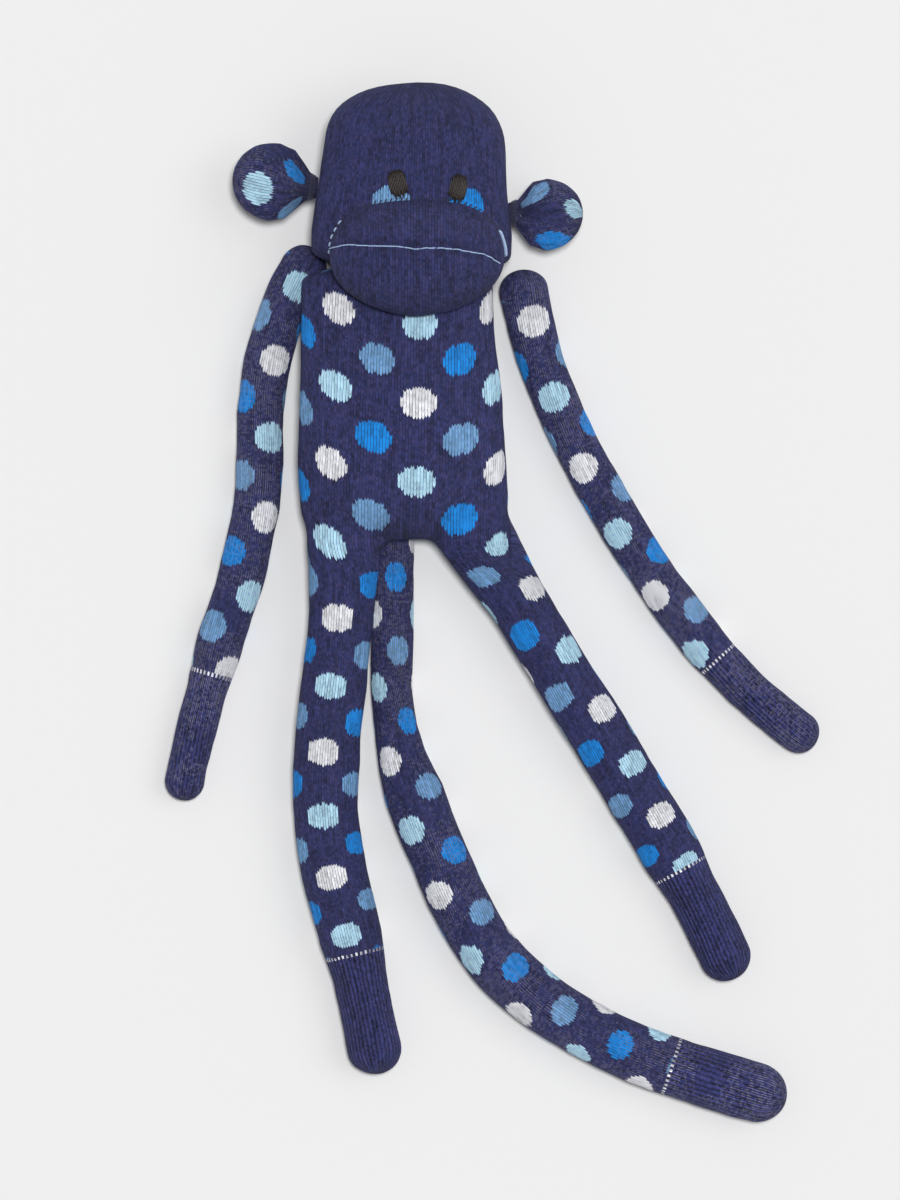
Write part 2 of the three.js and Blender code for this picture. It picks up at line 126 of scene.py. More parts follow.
class MonkeySizes(bpy.types.PropertyGroup):
    """Sizes of the stuffed pieces."""

    torso_length: size("Torso length", 0.117, "From the neck to the crotch")
    torso_width: size("Torso width", 0.102, "Across the middle")
    torso_depth: size("Torso depth", 0.062, "From the back to the belly")
    neck_width: size("Neck width", 0.086, "Across the gathered neck")
    neck_depth: size("Neck depth", 0.052, "From the nape to the throat")
    head_length: size("Head length", 0.118, "From the neck to the crown")
    head_width: size("Head width", 0.094, "Across the temples")
    head_depth: size("Head depth", 0.066, "From the back of the head to the face")
    muzzle_width: size("Muzzle width", 0.088, "Across the sewn-on oval")
    muzzle_height: size("Muzzle height", 0.059, "From the chin to the top of the oval")
    muzzle_proud: size("Muzzle depth", 0.029, "From the widest part of the oval to its front")
    arm_length: size("Arm length", 0.275, "From the shoulder to the end of the hand")
    arm_width: size("Arm width", 0.0229, "Across the middle of an arm")
    leg_length: size("Leg length", 0.260, "From the crotch to the end of the foot")
    leg_width: size("Leg width", 0.0313, "Across the middle of a leg")
    tail_length: size("Tail length", 0.389, "From the crotch to the tip")
    tail_width: size("Tail width", 0.0294, "Across the middle of the tail")
    ear_length: size("Ear length", 0.0403, "From the gather to the rim")
    ear_width: size("Ear width", 0.0378, "Across the middle of an ear")


class MonkeyKnit(bpy.types.PropertyGroup):
    """Colours and finish of the knit and the threads."""

    navy: colour("Navy yarn", "293264", "Ground of the knit")
    violet: colour("Violet yarn", "463e6e", "Strand that shows unevenly in the ground")
    bright_blue: colour("Bright blue yarn", "128de8", "Dots of the blue columns")
    steel_blue: colour("Steel blue yarn", "78a8d8", "Dots of the blue columns")
    light_blue: colour("Light blue yarn", "bde8ff", "Dots of the pale columns")
    white: colour("White yarn", "f6f7fc", "Dots of the pale columns")
    backing: colour("Backing yarn", "bdb8cc", "Flecks between the stretched stitches")
    pale_thread: colour("Pale thread", "a9c3e6", "Mouth stitches")
    navy_thread: colour("Navy thread", "23233f", "Sewing and gathering threads")
    eye_thread: colour("Eye thread", "221a16", "Satin stitches of the eyes")
    floor: colour("Floor", "ececec", "Plain surface under the toy")
    relief: size("Stitch relief", 0.0005, "How far the stitches stand up")
    sheen: FloatProperty(
        name="Fuzz", description="Strength of the soft fuzz", default=0.05, min=0.0, max=1.0
    )


class Route:
    """The middle line of a stuffed piece seen from above, drawn through one known point."""

    STEPS = 240

    def __init__(self, length, headings, known, at=0.0):
        share = (np.arange(self.STEPS) + 0.5) / self.STEPS
        marks = np.linspace(0.0, 1.0, len(headings)) if len(headings) > 1 else np.array([0.5])
        turn = np.radians(np.interp(share, marks, headings))
        hop = np.stack([np.cos(turn), np.sin(turn)], 1) * length / self.STEPS
        self.length = length
        self.marks = marks
        self.headings = headings
        self.points = np.vstack([[0.0, 0.0], np.cumsum(hop, 0)])
        self.points = self.points + (np.array(known)[:2] - self.spot(at)[0])

    def at(self, s):
        """Points of the line at the lengths s; it goes straight on past both ends."""
        step = s / self.length * self.STEPS
        i = np.clip(np.floor(step), 0, self.STEPS - 1).astype(int)
        here = self.points[i]
        return here + (self.points[i + 1] - here) * (step - i)[..., None]

    def ahead(self, s):
        """Unit directions of the line at the lengths s."""
        turn = np.radians(np.interp(np.clip(s / self.length, 0, 1), self.marks, self.headings))
        return np.stack([np.cos(turn), np.sin(turn)], -1)

    def spot(self, s):
        """The point and the direction of the line at one length."""
        one = np.array([s])
        return self.at(one)[0], self.ahead(one)[0]

    def place(self, spots):
        """The length along the line and the offset to its side of points seen from above."""
        middles = (self.points[1:] + self.points[:-1]) / 2
        nearest = np.empty(len(spots), int)
        for start in range(0, len(spots), 4000):
            part = spots[start:start + 4000]
            gaps = ((part[:, None] - middles[None]) ** 2).sum(2)
            nearest[start:start + 4000] = gaps.argmin(1)
        hop = self.points[nearest + 1] - self.points[nearest]
        hop = hop / np.linalg.norm(hop, axis=1)[:, None]
        away = spots - self.points[nearest]
        s = nearest * self.length / self.STEPS + (away * hop).sum(1)
        return s, away[:, 1] * hop[:, 0] - away[:, 0] * hop[:, 1]


class Stuffed:
    """A stuffed knit tube round a route. Its widths, depths and lifts run straight between
    (length, value) pairs, and it rests on a slightly flattened underside."""

    def __init__(self, route, width, depth, lift, start_round, end_round, power,
                 sinks=1.5 * MM, blunt=2.0):
        self.route = route
        self.width = width
        self.depth = depth
        self.lift = lift
        self.start_round = start_round
        self.end_round = end_round
        self.power = power
        self.sinks = sinks
        self.blunt = blunt

    def measure(self, pairs, s):
        """The value at the lengths s of a list of (length, value) pairs."""
        return np.interp(s, [p[0] for p in pairs], [p[1] for p in pairs])

    def ends(self, s):
        """How much of its full section the tube has at the lengths s, as its ends round off."""
        narrow = np.ones_like(s)
        for gap, length in ((s, self.start_round), (self.route.length - s, self.end_round)):
            if length:
                share = np.clip((length - gap) / length, 0.0, 1.0)
                narrow = narrow * (1.0 - share ** self.blunt) ** (1 / self.blunt)
        return narrow

    def surface(self, s, turn):
        """Points of the cover at the lengths s and the turns round it, 0 at the top."""
        bulge = 2.0 / self.power
        wave_x = np.sign(np.sin(turn)) * np.abs(np.sin(turn)) ** bulge
        wave_z = np.sign(np.cos(turn)) * np.abs(np.cos(turn)) ** bulge
        narrow = self.ends(s)
        deep = self.measure(self.depth, s) / 2
        low = self.measure(self.lift, s)
        offset = self.measure(self.width, s) / 2 * narrow * wave_x
        above = deep - self.sinks + deep * narrow * wave_z
        soft = 1.2 * MM
        height = low + 0.5 * (above + np.sqrt(above * above + soft * soft))
        middle = self.route.at(s)
        ahead = self.route.ahead(s)
        return np.stack([
            middle[..., 0] - ahead[..., 1] * offset,
            middle[..., 1] + ahead[..., 0] * offset,
            height,
        ], -1)

    def around(self, at):
        """The distance round the section at a length, against the turn, and the whole of it."""
        turn = np.linspace(-math.pi, math.pi, 721)
        ring = self.surface(np.full_like(turn, at), turn)
        reach = np.concatenate([[0.0], np.cumsum(np.linalg.norm(np.diff(ring, axis=0), axis=1))])
        return turn, reach - reach[360], reach[-1]

    def unwrap(self, spots, at, spread=0.0, waist=0.0):
        """The length along the piece and the distance round it from its top, of points on it.
        Where spread is 1, points off its surface are first brought to it straight up or down."""
        s, offset = self.route.place(spots[:, :2])
        half = self.measure(self.width, s) / 2
        deep = self.measure(self.depth, s) / 2
        raised = spots[:, 2] - self.measure(self.lift, s) - deep + self.sinks
        share = np.clip(np.abs(offset / half), 0.0, 1.0)
        crown = deep * (1.0 - share ** self.power) ** (1 / self.power)
        raised = raised + spread * (crown * np.tanh((spots[:, 2] - waist) / (4 * MM)) - raised)
        x = np.sign(offset) * np.abs(offset / half) ** (self.power / 2)
        z = np.sign(raised) * np.abs(raised / deep) ** (self.power / 2)
        turns, reach, whole = self.around(at)
        return s, np.interp(np.arctan2(x, z), turns, reach), whole


# ---- The stuffed pieces' shapes ----


def torso_shape(sizes):
    """The torso reaches up behind the muzzle as far as the shoulders."""
    w, d = sizes.torso_width, sizes.torso_depth
    length = sizes.torso_length + SHOULDERS - 6 * MM
    return Stuffed(
        Route(length, HEADINGS["torso"], HINGES["head_nod"], SHOULDERS),
        [(0, sizes.neck_width + 8 * MM), (14 * MM, w - 6 * MM), (SHOULDERS, w - 5 * MM),
         (SHOULDERS + 16 * MM, w - 4 * MM), (0.6 * length + 10 * MM, w + 2 * MM),
         (length - 22 * MM, w + 3 * MM)],
        [(0, sizes.neck_depth - 8 * MM), (SHOULDERS, sizes.neck_depth),
         (SHOULDERS + 34 * MM, d), (length - 42 * MM, d), (length, 0.74 * d)],
        [(0, 0)],
        8 * MM, 17 * MM, 2.25)


def head_shape(sizes):
    """The head starts behind the muzzle, some way above the fold at the neck."""
    w, d = sizes.head_width, sizes.head_depth
    beside_torso = np.array([5.5 * MM, 0.0, 0.0])
    length = sizes.head_length - JAW
    route = Route(length, HEADINGS["head"], HINGES["head_nod"] + beside_torso, -JAW)
    return Stuffed(
        route,
        [(0, w + 5 * MM), (20 * MM, w + 6 * MM), (42 * MM, w + 1 * MM), (64 * MM, w - 3 * MM)],
        [(0, d - 10 * MM), (14 * MM, d - 2 * MM), (26 * MM, d)],
        [(0, 0)],
        11 * MM, 34 * MM, 2.4, blunt=2.3)


def limb_shape(route, width, lift, start_round, end_round):
    depth = [(s, 0.95 * w) for s, w in width]
    return Stuffed(route, width, depth, lift, start_round, end_round, 2.0)


def arm_shape(sizes, side):
    wide = sizes.arm_width + (0.5 * MM if side == "right" else -0.5 * MM)
    hand = 20 * MM if side == "right" else 21 * MM
    shoulder = wide / 2
    length = sizes.arm_length + shoulder
    route = Route(length, HEADINGS["arm_" + side], HINGES["shoulder_" + side], shoulder)
    wrist = sizes.arm_length - CUFFS["arm"]
    top = wide + (0.0 if side == "right" else 2 * MM)
    width = [(0, top), (45 * MM, wide), (wrist, wide), (wrist + 20 * MM, hand)]
    return limb_shape(route, width, [(0, 0)], shoulder, hand / 2)


def leg_shape(sizes, side):
    longer = 8 * MM if side == "right" else -8 * MM
    wide = sizes.leg_width + (1.3 * MM if side == "right" else -1.3 * MM)
    foot = 27 * MM if side == "right" else 26 * MM
    length = sizes.leg_length + longer
    headings = HEADINGS["leg_" + side]
    hip = 14 * MM / abs(math.sin(math.radians(headings[0])))
    route = Route(length, headings, HINGES["hip_" + side], hip)
    ankle = length - CUFFS["leg"]
    width = [(-8 * MM, 39 * MM), (34 * MM, wide), (ankle - 8 * MM, wide), (ankle + 12 * MM, foot)]
    lift = [(0, 8 * MM), (92 * MM, 6.4 * MM), (137 * MM, 0)]
    return limb_shape(route, width, lift, 0, foot / 2)


def tail_shape(sizes):
    wide = sizes.tail_width
    route = Route(sizes.tail_length, HEADINGS["tail"], HINGES["tail_lift"], 106 * MM)
    width = [(0, 21 * MM), (98 * MM, 21 * MM), (132 * MM, wide), (400 * MM, wide)]
    return limb_shape(route, width, [(0, 0)], 0, wide / 2)


def ear_shape(sizes, side):
    longer = 2.75 * MM if side == "right" else -2.75 * MM
    wide = sizes.ear_width + (1.75 * MM if side == "right" else -1.75 * MM)
    length = sizes.ear_length + longer
    thick = 23 * MM
    route = Route(length, HEADINGS["ear_" + side], HINGES["ear_flap_" + side])
    depth = [(0, 8 * MM), (length * 0.35, thick * 0.9), (length * 0.5, thick)]
    lift = [(s, 14 * MM + (thick - d) / 2) for s, d in depth]
    width = [(0, 9 * MM), (5 * MM, 13 * MM), (length * 0.32, wide * 0.86), (length * 0.5, wide)]
    return Stuffed(route, width, depth, lift, 0, length * 0.5, 2.0, 0.0)


# ---- Mesh making ----


def show_only(piece):
    bpy.ops.object.select_all(action="DESELECT")
    piece.select_set(True)
    bpy.context.view_layer.objects.active = piece


def add_mesh(name, points, faces):
    mesh = bpy.data.meshes.new(name)
    mesh.from_pydata([tuple(p) for p in points], [], faces)
    mesh.validate()
    piece = bpy.data.objects.new(name, mesh)
    bpy.context.scene.collection.objects.link(piece)
    return piece


def apply_modifier(piece, kind, **settings):
    show_only(piece)
    modifier = piece.modifiers.new(kind.title(), kind)
    for key, value in settings.items():
        setattr(modifier, key, value)
    bpy.ops.object.modifier_apply(modifier=modifier.name)


def ring_lengths(tube, start, end, spacing):
    """Lengths at which a cover has a ring of corners, closer together where it rounds off."""
    low, high = start, end
    before, after = [], []
    quarter = np.linspace(0.0, math.pi / 2, 14)
    if tube.start_round and start == 0:
        before = list(tube.start_round * (1 - np.cos(quarter)))[:-1]
        low = tube.start_round
    if tube.end_round and end == tube.route.length:
        after = list(end - tube.end_round * (1 - np.cos(quarter[::-1])))[1:]
        high = end - tube.end_round
    count = max(2, round((high - low) / spacing))
    return np.array(before + list(np.linspace(low, high, count + 1)) + after)


def band_faces(rings, sides):
    """Quads that join rings of corners, each ring to the next."""
    faces = []
    for i in range(rings - 1):
        for j in range(sides):
            k = (j + 1) % sides
            faces.append((i * sides + j, i * sides + k, (i + 1) * sides + k, (i + 1) * sides + j))
    return faces


def tube_cover(name, tube, start, end, spacing, sides):
    """A closed cover of quads round a stuffed tube."""
    lengths = ring_lengths(tube, start, end, spacing)
    turns = np.arange(sides) / sides * 2 * math.pi
    s, turn = np.meshgrid(lengths, turns, indexing="ij")
    points = tube.surface(s, turn).reshape(-1, 3)
    faces = band_faces(len(lengths), sides)
    last = (len(lengths) - 1) * sides
    if not (tube.start_round and start == 0):
        faces.append(tuple(range(sides - 1, -1, -1)))
    if not (tube.end_round and end == tube.route.length):
        faces.append(tuple(range(last, last + sides)))
    cover = add_mesh(name, points, faces)
    tidy_surface(cover)
    return cover


def tidy_surface(cover):
    """Closes the poles and turns every face outwards."""
    made = bmesh.new()
    made.from_mesh(cover.data)
    bmesh.ops.remove_doubles(made, verts=made.verts, dist=1e-6)
    bmesh.ops.recalc_face_normals(made, faces=made.faces)
    made.to_mesh(cover.data)
    made.free()


def points_of(piece):
    points = np.empty(len(piece.data.vertices) * 3)
    piece.data.vertices.foreach_get("co", points)
    return points.reshape(-1, 3)


def normals_of(piece):
    normals = np.empty(len(piece.data.vertices) * 3)
    piece.data.vertex_normals.foreach_get("vector", normals)
    return normals.reshape(-1, 3)


def move_points(piece, points):
    piece.data.vertices.foreach_set("co", points.reshape(-1))
    piece.data.update()


def lumps(points, wave, seed):
    """Smooth lumps of about -1 to 1 that are the given distance apart."""
    start = Vector((seed * 3.1, seed * 1.7, seed * 0.9))
    return np.array([noise.noise(Vector(p) / wave + start) for p in points])


def knead(piece, depth, wave, seed):
    """Pushes a cover in and out where its stuffing is uneven. The underside stays on the floor."""
    points = points_of(piece)
    low = points[:, 2].min()
    push = lumps(points, wave, seed) * depth + lumps(points, wave / 3, seed + 5) * depth * 0.3
    points = points + normals_of(piece) * push[:, None]
    points[:, 2] = np.maximum(points[:, 2], low)
    move_points(piece, points)


def cut_away(piece, point, normal):
    """Cuts a cover across a plane, removes the side that the normal points to and closes the cut."""
    made = bmesh.new()
    made.from_mesh(piece.data)
    everything = made.verts[:] + made.edges[:] + made.faces[:]
    cut = bmesh.ops.bisect_plane(
        made, geom=everything, dist=1e-6, plane_co=point, plane_no=normal, clear_outer=True)
    rim = [e for e in cut["geom_cut"] if isinstance(e, bmesh.types.BMEdge)]
    bmesh.ops.holes_fill(made, edges=rim, sides=0)
    for edge in rim:
        if edge.is_valid:
            edge.smooth = False
    made.to_mesh(piece.data)
    made.free()


def copy_of(piece, name):
    twin = piece.copy()
    twin.data = piece.data.copy()
    twin.name = name
    twin.data.name = name
    bpy.context.scene.collection.objects.link(twin)
    return twin


def discard(piece):
    bpy.data.objects.remove(piece, do_unlink=True)


def smooth_shading(piece):
    """Smooth all over, except across the sharp rims of the closed cuts."""
    made = bmesh.new()
    made.from_mesh(piece.data)
    for face in made.faces:
        face.smooth = len(face.verts) < 8
        if len(face.verts) >= 8:
            for edge in face.edges:
                edge.smooth = False
    made.to_mesh(piece.data)
    made.free()


# ---- How the knit lies on each piece ----


def corners_of(mesh):
    """The point that each corner of each face stands on."""
    corners = np.empty(len(mesh.loops), int)
    mesh.loops.foreach_get("vertex_index", corners)
    return corners


def write_knit(mesh, across, along):
    """Writes the knit map of every corner, in stitches across and along."""
    layer = mesh.uv_layers.new(name="knit")
    layer.data.foreach_set("uv", np.stack([across, along], 1).astype(np.float32).reshape(-1))


def lay_knit(piece, tube, around_at, layout, spread=0.0, waist=0.0):
    """Gives a cover its knit map, in stitches across and along, from its place on the tube."""
    mesh = piece.data
    spots = points_of(piece)
    s, reach, whole = tube.unwrap(spots, around_at, spread, waist)
    corners = corners_of(mesh)
    starts = np.empty(len(mesh.polygons), int)
    totals = np.empty(len(mesh.polygons), int)
    mesh.polygons.foreach_get("loop_start", starts)
    mesh.polygons.foreach_get("loop_total", totals)
    first = np.repeat(reach[corners[starts]], totals)
    round_it = reach[corners]
    round_it = round_it - np.round((round_it - first) / whole) * whole
    columns, rows = layout(s[corners], round_it, spots[corners])
    write_knit(mesh, columns * COLUMN_WALES, rows * ROW_COURSES)
    return s


def mark(piece, name, values):
    """A named value at every point of a cover, or one for them all, which its material reads."""
    attribute = piece.data.attributes.new(name, "FLOAT", "POINT")
    attribute.data.foreach_set("value", np.full(len(piece.data.vertices), values, np.float32))


def past(s, line, course):
    """Courses of knit past a line across a tube, and nothing before it."""
    return np.clip((s - line) / course, 0.0, None)


def head_layout(s, reach, spots):
    return -(reach + 8.3 * MM) / (18.9 * MM), 0.5 + (s + JAW - 58.6 * MM) / (38 * MM)


def torso_layout(s, reach):
    """The courses bow down over the belly."""
    bow = 18 * MM * np.cos((reach - 15 * MM) * 2 * math.pi / BELLY_GIRTH) - 14 * MM
    slant = 0.065 * (s - 71 * MM)
    return (reach - 9.3 * MM + slant) / (22.0 * MM), (s - SHOULDERS - bow) / (39.5 * MM)


def closer(s, first, more):
    """Rows along a limb, which lie closer together towards its end."""
    return first * s + more * s * np.abs(s)


def leg_layout(side, s, reach):
    if side == "right":
        return -2 + (reach + 2 * MM) / (18.5 * MM), 3 + closer(s - 1.5 * MM, 27.4, 16.9)
    drift = 0.053 * s - 5.0 * MM
    return 1.5 + (reach + drift) / (18.5 * MM), 4 + closer(s - 31.5 * MM, 26.0, 35.0)


def arm_layout(side, s, reach):
    if side == "right":
        return (reach - 2.0 * MM - 0.036 * s) / (16.5 * MM), (s - 21.5 * MM) / (39.4 * MM)
    slant = 0.055 * (s - 60 * MM)
    return (reach + slant) / (16.5 * MM), 1 + closer(s - 27 * MM, 24.9, 11.2)


def tail_layout(s, reach):
    twist = np.interp(s / MM, (0, 60, 96, 200, 235, 300, 389), (1, 5, 10, 9.5, 5, 1, -2)) * MM
    return 1 + (reach - twist) / (18.5 * MM), 0.5 + closer(s - 22.5 * MM, 26.9, 6.4)


def ear_layout(side, s, reach):
    """The wales run out along each ear and spread from its gather."""
    if side == "right":
        return (reach - 5.0 * MM) / (12 * MM + 0.5 * (s - 10 * MM)), (s - 30 * MM) / (39 * MM)
    column = (reach + 1 * MM - 0.3 * (s - 16 * MM)) / (13.5 * MM + 0.3 * (s - 12 * MM))
    return column, (s + 0.355 * reach - 38.5 * MM) / (41 * MM)


# ---- Materials ----


def operation(kind):
    """A method that works one number of a material out from others."""
    def act(self, *others):
        return self.finish.sum(kind, self, *others)
    return act


class Amount:
    """A number that a material works out, written in sums like a plain one."""

    def __init__(self, finish, socket):
        self.finish = finish
        self.socket = socket

    __add__ = operation("ADD")
    __sub__ = operation("SUBTRACT")
    __mul__ = operation("MULTIPLY")
    __truediv__ = operation("DIVIDE")
    __mod__ = operation("FLOORED_MODULO")
    __pow__ = operation("POWER")
    __lt__ = operation("LESS_THAN")
    __gt__ = operation("GREATER_THAN")
    __abs__ = operation("ABSOLUTE")
    at_least = operation("MAXIMUM")
    floor = operation("FLOOR")
    fract = operation("FRACT")
    round = operation("ROUND")
    sine = operation("SINE")
    cosine = operation("COSINE")

    def __rsub__(self, other):
        return self.finish.sum("SUBTRACT", other, self)


class Finish:
    """A node material built a node at a time."""

    def __init__(self, name):
        self.material = bpy.data.materials.new(name)
        self.material.use_nodes = True
        self.tree = self.material.node_tree
        self.shader = self.tree.nodes["Principled BSDF"]

    def add(self, kind, **settings):
        node = self.tree.nodes.new(kind)
        for key, value in settings.items():
            setattr(node, key, value)
        return node

    def feed(self, socket, value):
        if isinstance(value, Amount):
            value = value.socket
        if isinstance(value, bpy.types.NodeSocket):
            self.tree.links.new(value, socket)
        elif socket.type == "RGBA":
            socket.default_value = (*value[:3], 1.0)
        else:
            socket.default_value = value

    def sum(self, kind, *values):
        node = self.add("ShaderNodeMath", operation=kind)
        for socket, value in zip(node.inputs, values):
            self.feed(socket, value)
        return Amount(self, node.outputs[0])

    def attribute(self, name):
        """A value that the piece carries at its points."""
        return Amount(self, self.add("ShaderNodeAttribute", attribute_name=name).outputs["Fac"])

    def blend(self, share, first, second):
        node = self.add("ShaderNodeMix", data_type="RGBA")
        self.feed(node.inputs[0], share)
        for socket, value in ((node.inputs[6], first), (node.inputs[7], second)):
            self.feed(socket, value)
        return node.outputs[2]

    def darken(self, tint, share):
        node = self.add("ShaderNodeVectorMath", operation="SCALE")
        self.feed(node.inputs[0], tint)
        self.feed(node.inputs[3], share)
        return node.outputs[0]

    def chance(self, x, y):
        """An even random value for each whole pair of numbers."""
        pair = self.add("ShaderNodeCombineXYZ")
        self.feed(pair.inputs[0], x)
        self.feed(pair.inputs[1], y)
        node = self.add("ShaderNodeTexWhiteNoise", noise_dimensions="2D")
        self.feed(node.inputs["Vector"], pair.outputs[0])
        return Amount(self, node.outputs["Value"])

    def mottle(self, scale, detail=2.0):
        """Cloudy noise of 0 to 1 that stays with the piece."""
        place = self.add("ShaderNodeTexCoord")
        node = self.add("ShaderNodeTexNoise")
        self.feed(node.inputs["Vector"], place.outputs["Object"])
        self.feed(node.inputs["Scale"], scale)
        self.feed(node.inputs["Detail"], detail)
        return Amount(self, node.outputs["Fac"])

    def raise_up(self, height, distance):
        node = self.add("ShaderNodeBump")
        self.feed(node.inputs["Height"], height)
        node.inputs["Distance"].default_value = distance
        self.feed(self.shader.inputs["Normal"], node.outputs[0])

    def surface(self, tint, roughness, sheen=0.0, specular=0.3):
        self.feed(self.shader.inputs["Base Color"], tint)
        self.shader.inputs["Roughness"].default_value = roughness
        self.shader.inputs["Specular IOR Level"].default_value = specular
        self.shader.inputs["Sheen Weight"].default_value = sheen
        self.shader.inputs["Sheen Roughness"].default_value = 0.6
        self.shader.inputs["Sheen Tint"].default_value = (0.78, 0.80, 0.95, 1.0)
        return self.material


def knit_finish(name, knit, flecks):
    """Navy knit with its columns of ragged dots, its flecks of backing yarn and its ribbed cuffs."""
    cloth = Finish(name)
    parts = cloth.add("ShaderNodeSeparateXYZ")
    cloth.feed(parts.inputs[0], cloth.add("ShaderNodeUVMap", uv_map="knit").outputs[0])
    across, along = Amount(cloth, parts.outputs[0]), Amount(cloth, parts.outputs[1])
    past_line = cloth.attribute("cuff")
    spotted = cloth.attribute("spotted")
    cuffed = past_line > 0.3

    # Each stitch is a leaning pair of loops: its wale, its course and its place between them
    wale = across.floor()
    middle = across.fract() - 0.5
    leaned = along + abs(middle) * 2.6
    course = leaned.floor()

    # The dots stand in columns half a step apart
    column_at = (wale + 0.5) / COLUMN_WALES
    column = column_at.round()
    odd = column % 2.0
    row_at = (course + 0.5) / ROW_COURSES - odd * 0.5
    row = row_at.round()
    from_column = (column_at - column) / (spotted.at_least(0.5) * 0.41)
    ragged = (cloth.chance(wale, row + odd * 31.0) - 0.5) * 0.18
    from_row = abs((row_at - row) / 0.195) + ragged
    inside = abs(from_column) ** 2.2 + from_row.at_least(0.0) ** 2.2 < 1.0
    dot = inside * (1.0 - cuffed) * (spotted > 0.5)

    # Their colours alternate down each column and change places in every second one of a kind
    swapped = (row + (column / 2.0).floor()) % 2.0
    pale = cloth.blend(swapped, knit.light_blue, knit.white)
    blue = cloth.blend(swapped, knit.bright_blue, knit.steel_blue)
    yarn = cloth.blend(dot, knit.navy, cloth.blend(odd, pale, blue))

    # A row of white stitches where each cuff starts
    line = cuffed * (past_line < 2.0) * (wale % 2.0 < 0.5)
    yarn = cloth.blend(line, yarn, knit.white)

    # Relief of the loops, or of the ribs on a cuff
    loops = abs((across * math.tau).sine()) ** 0.6
    steps = abs((leaned * math.pi).sine()) ** 0.5
    plain = loops * steps
    ribs = (across * math.pi).cosine() * 0.9 + steps * 0.3
    height = plain + cuffed * (ribs - plain)

    # Uneven from stitch to stitch and along short strands; inside the dots the navy yarn shows
    # between the loops, and everywhere the gaps between the loops are darkened and the raised loops
    # lightened as painted shade
    edge = (abs(middle) * 2.0) ** 3.0
    yarn = cloth.blend(edge * dot * 0.45, yarn, knit.navy)
    streak = cloth.chance(wale + 0.5, (course / 9.0).floor())
    # Painted shade: each stitch is lighter by its relief height, so its hollows come out darker
    shade = cloth.chance(wale, course) * (1.0 - dot * 0.45) + height * 0.45
    # Painted shade: edge darkens the gaps between the loops
    shade = shade + cloth.mottle(26.0) * 0.30 + 0.13 - edge * 0.62
    shade = shade + streak * 0.54 + dot * 0.34
    violet = cloth.chance(wale + 0.25, course) * (1.0 - dot)
    yarn = cloth.blend(violet * 0.6, yarn, knit.violet)
    yarn = cloth.darken(yarn, shade)

    # Flecks of the backing, in patches between the stretched wales
    if flecks:
        patch = cloth.mottle(34.0) - 0.34
        seen = cloth.chance(wale + 0.37, course + 0.71) < patch * (flecks * 9)
        between = (abs(middle) > 0.33) * (steps > 0.4)
        yarn = cloth.blend(seen * between * 0.42, yarn, knit.backing)
    fuzz = cloth.mottle(1400.0, 1.0) * 0.5
    cloth.raise_up(height + fuzz, knit.relief)
    return cloth.surface(yarn, 0.92, knit.sheen)


def thread_finish(name, tint, roughness, sheen, shine=0.3):
    """Twisted thread, bumped along its plies and darker where they sink, which is painted shade in
    their hollows.
    """
    thread = Finish(name)
    plies = thread.mottle(900.0, 3.0)
    thread.raise_up(plies, 0.3 * MM)
    # Painted shade: the thread is darkened where its plies' bump is low
    return thread.surface(thread.darken((*tint,), plies * 0.7 + 0.65), roughness, sheen, shine)


def sock_cloth(knit, flecks=0.0):
    """The knit, made the first time that it is asked for. Flecks show where it is stretched."""
    name = "stretched spotted knit" if flecks else "spotted knit"
    return bpy.data.materials.get(name) or knit_finish(name, knit, flecks)


def finish_cover(piece, material, cuff=0.0, spotted=1.0):
    """The last steps that every stuffed cover shares. Its cuff and spots are given by point."""
    mark(piece, "cuff", cuff)
    mark(piece, "spotted", spotted)
    smooth_shading(piece)
    piece.data.materials.clear()
    piece.data.materials.append(material)


def bend_round(cover, route, hinge, half, *bodies):
    """Bakes a cover's placement into its points; it is not bent, and the half length and the bodies
    are not used.
    """
    ahead = route.ahead(route.place(hinge[None, :2])[0])[0]
    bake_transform(cover)


# ---- Operators, one for each piece or group of like pieces ----


def settings(context):
    return context.scene.monkey_sizes, context.scene.monkey_knit


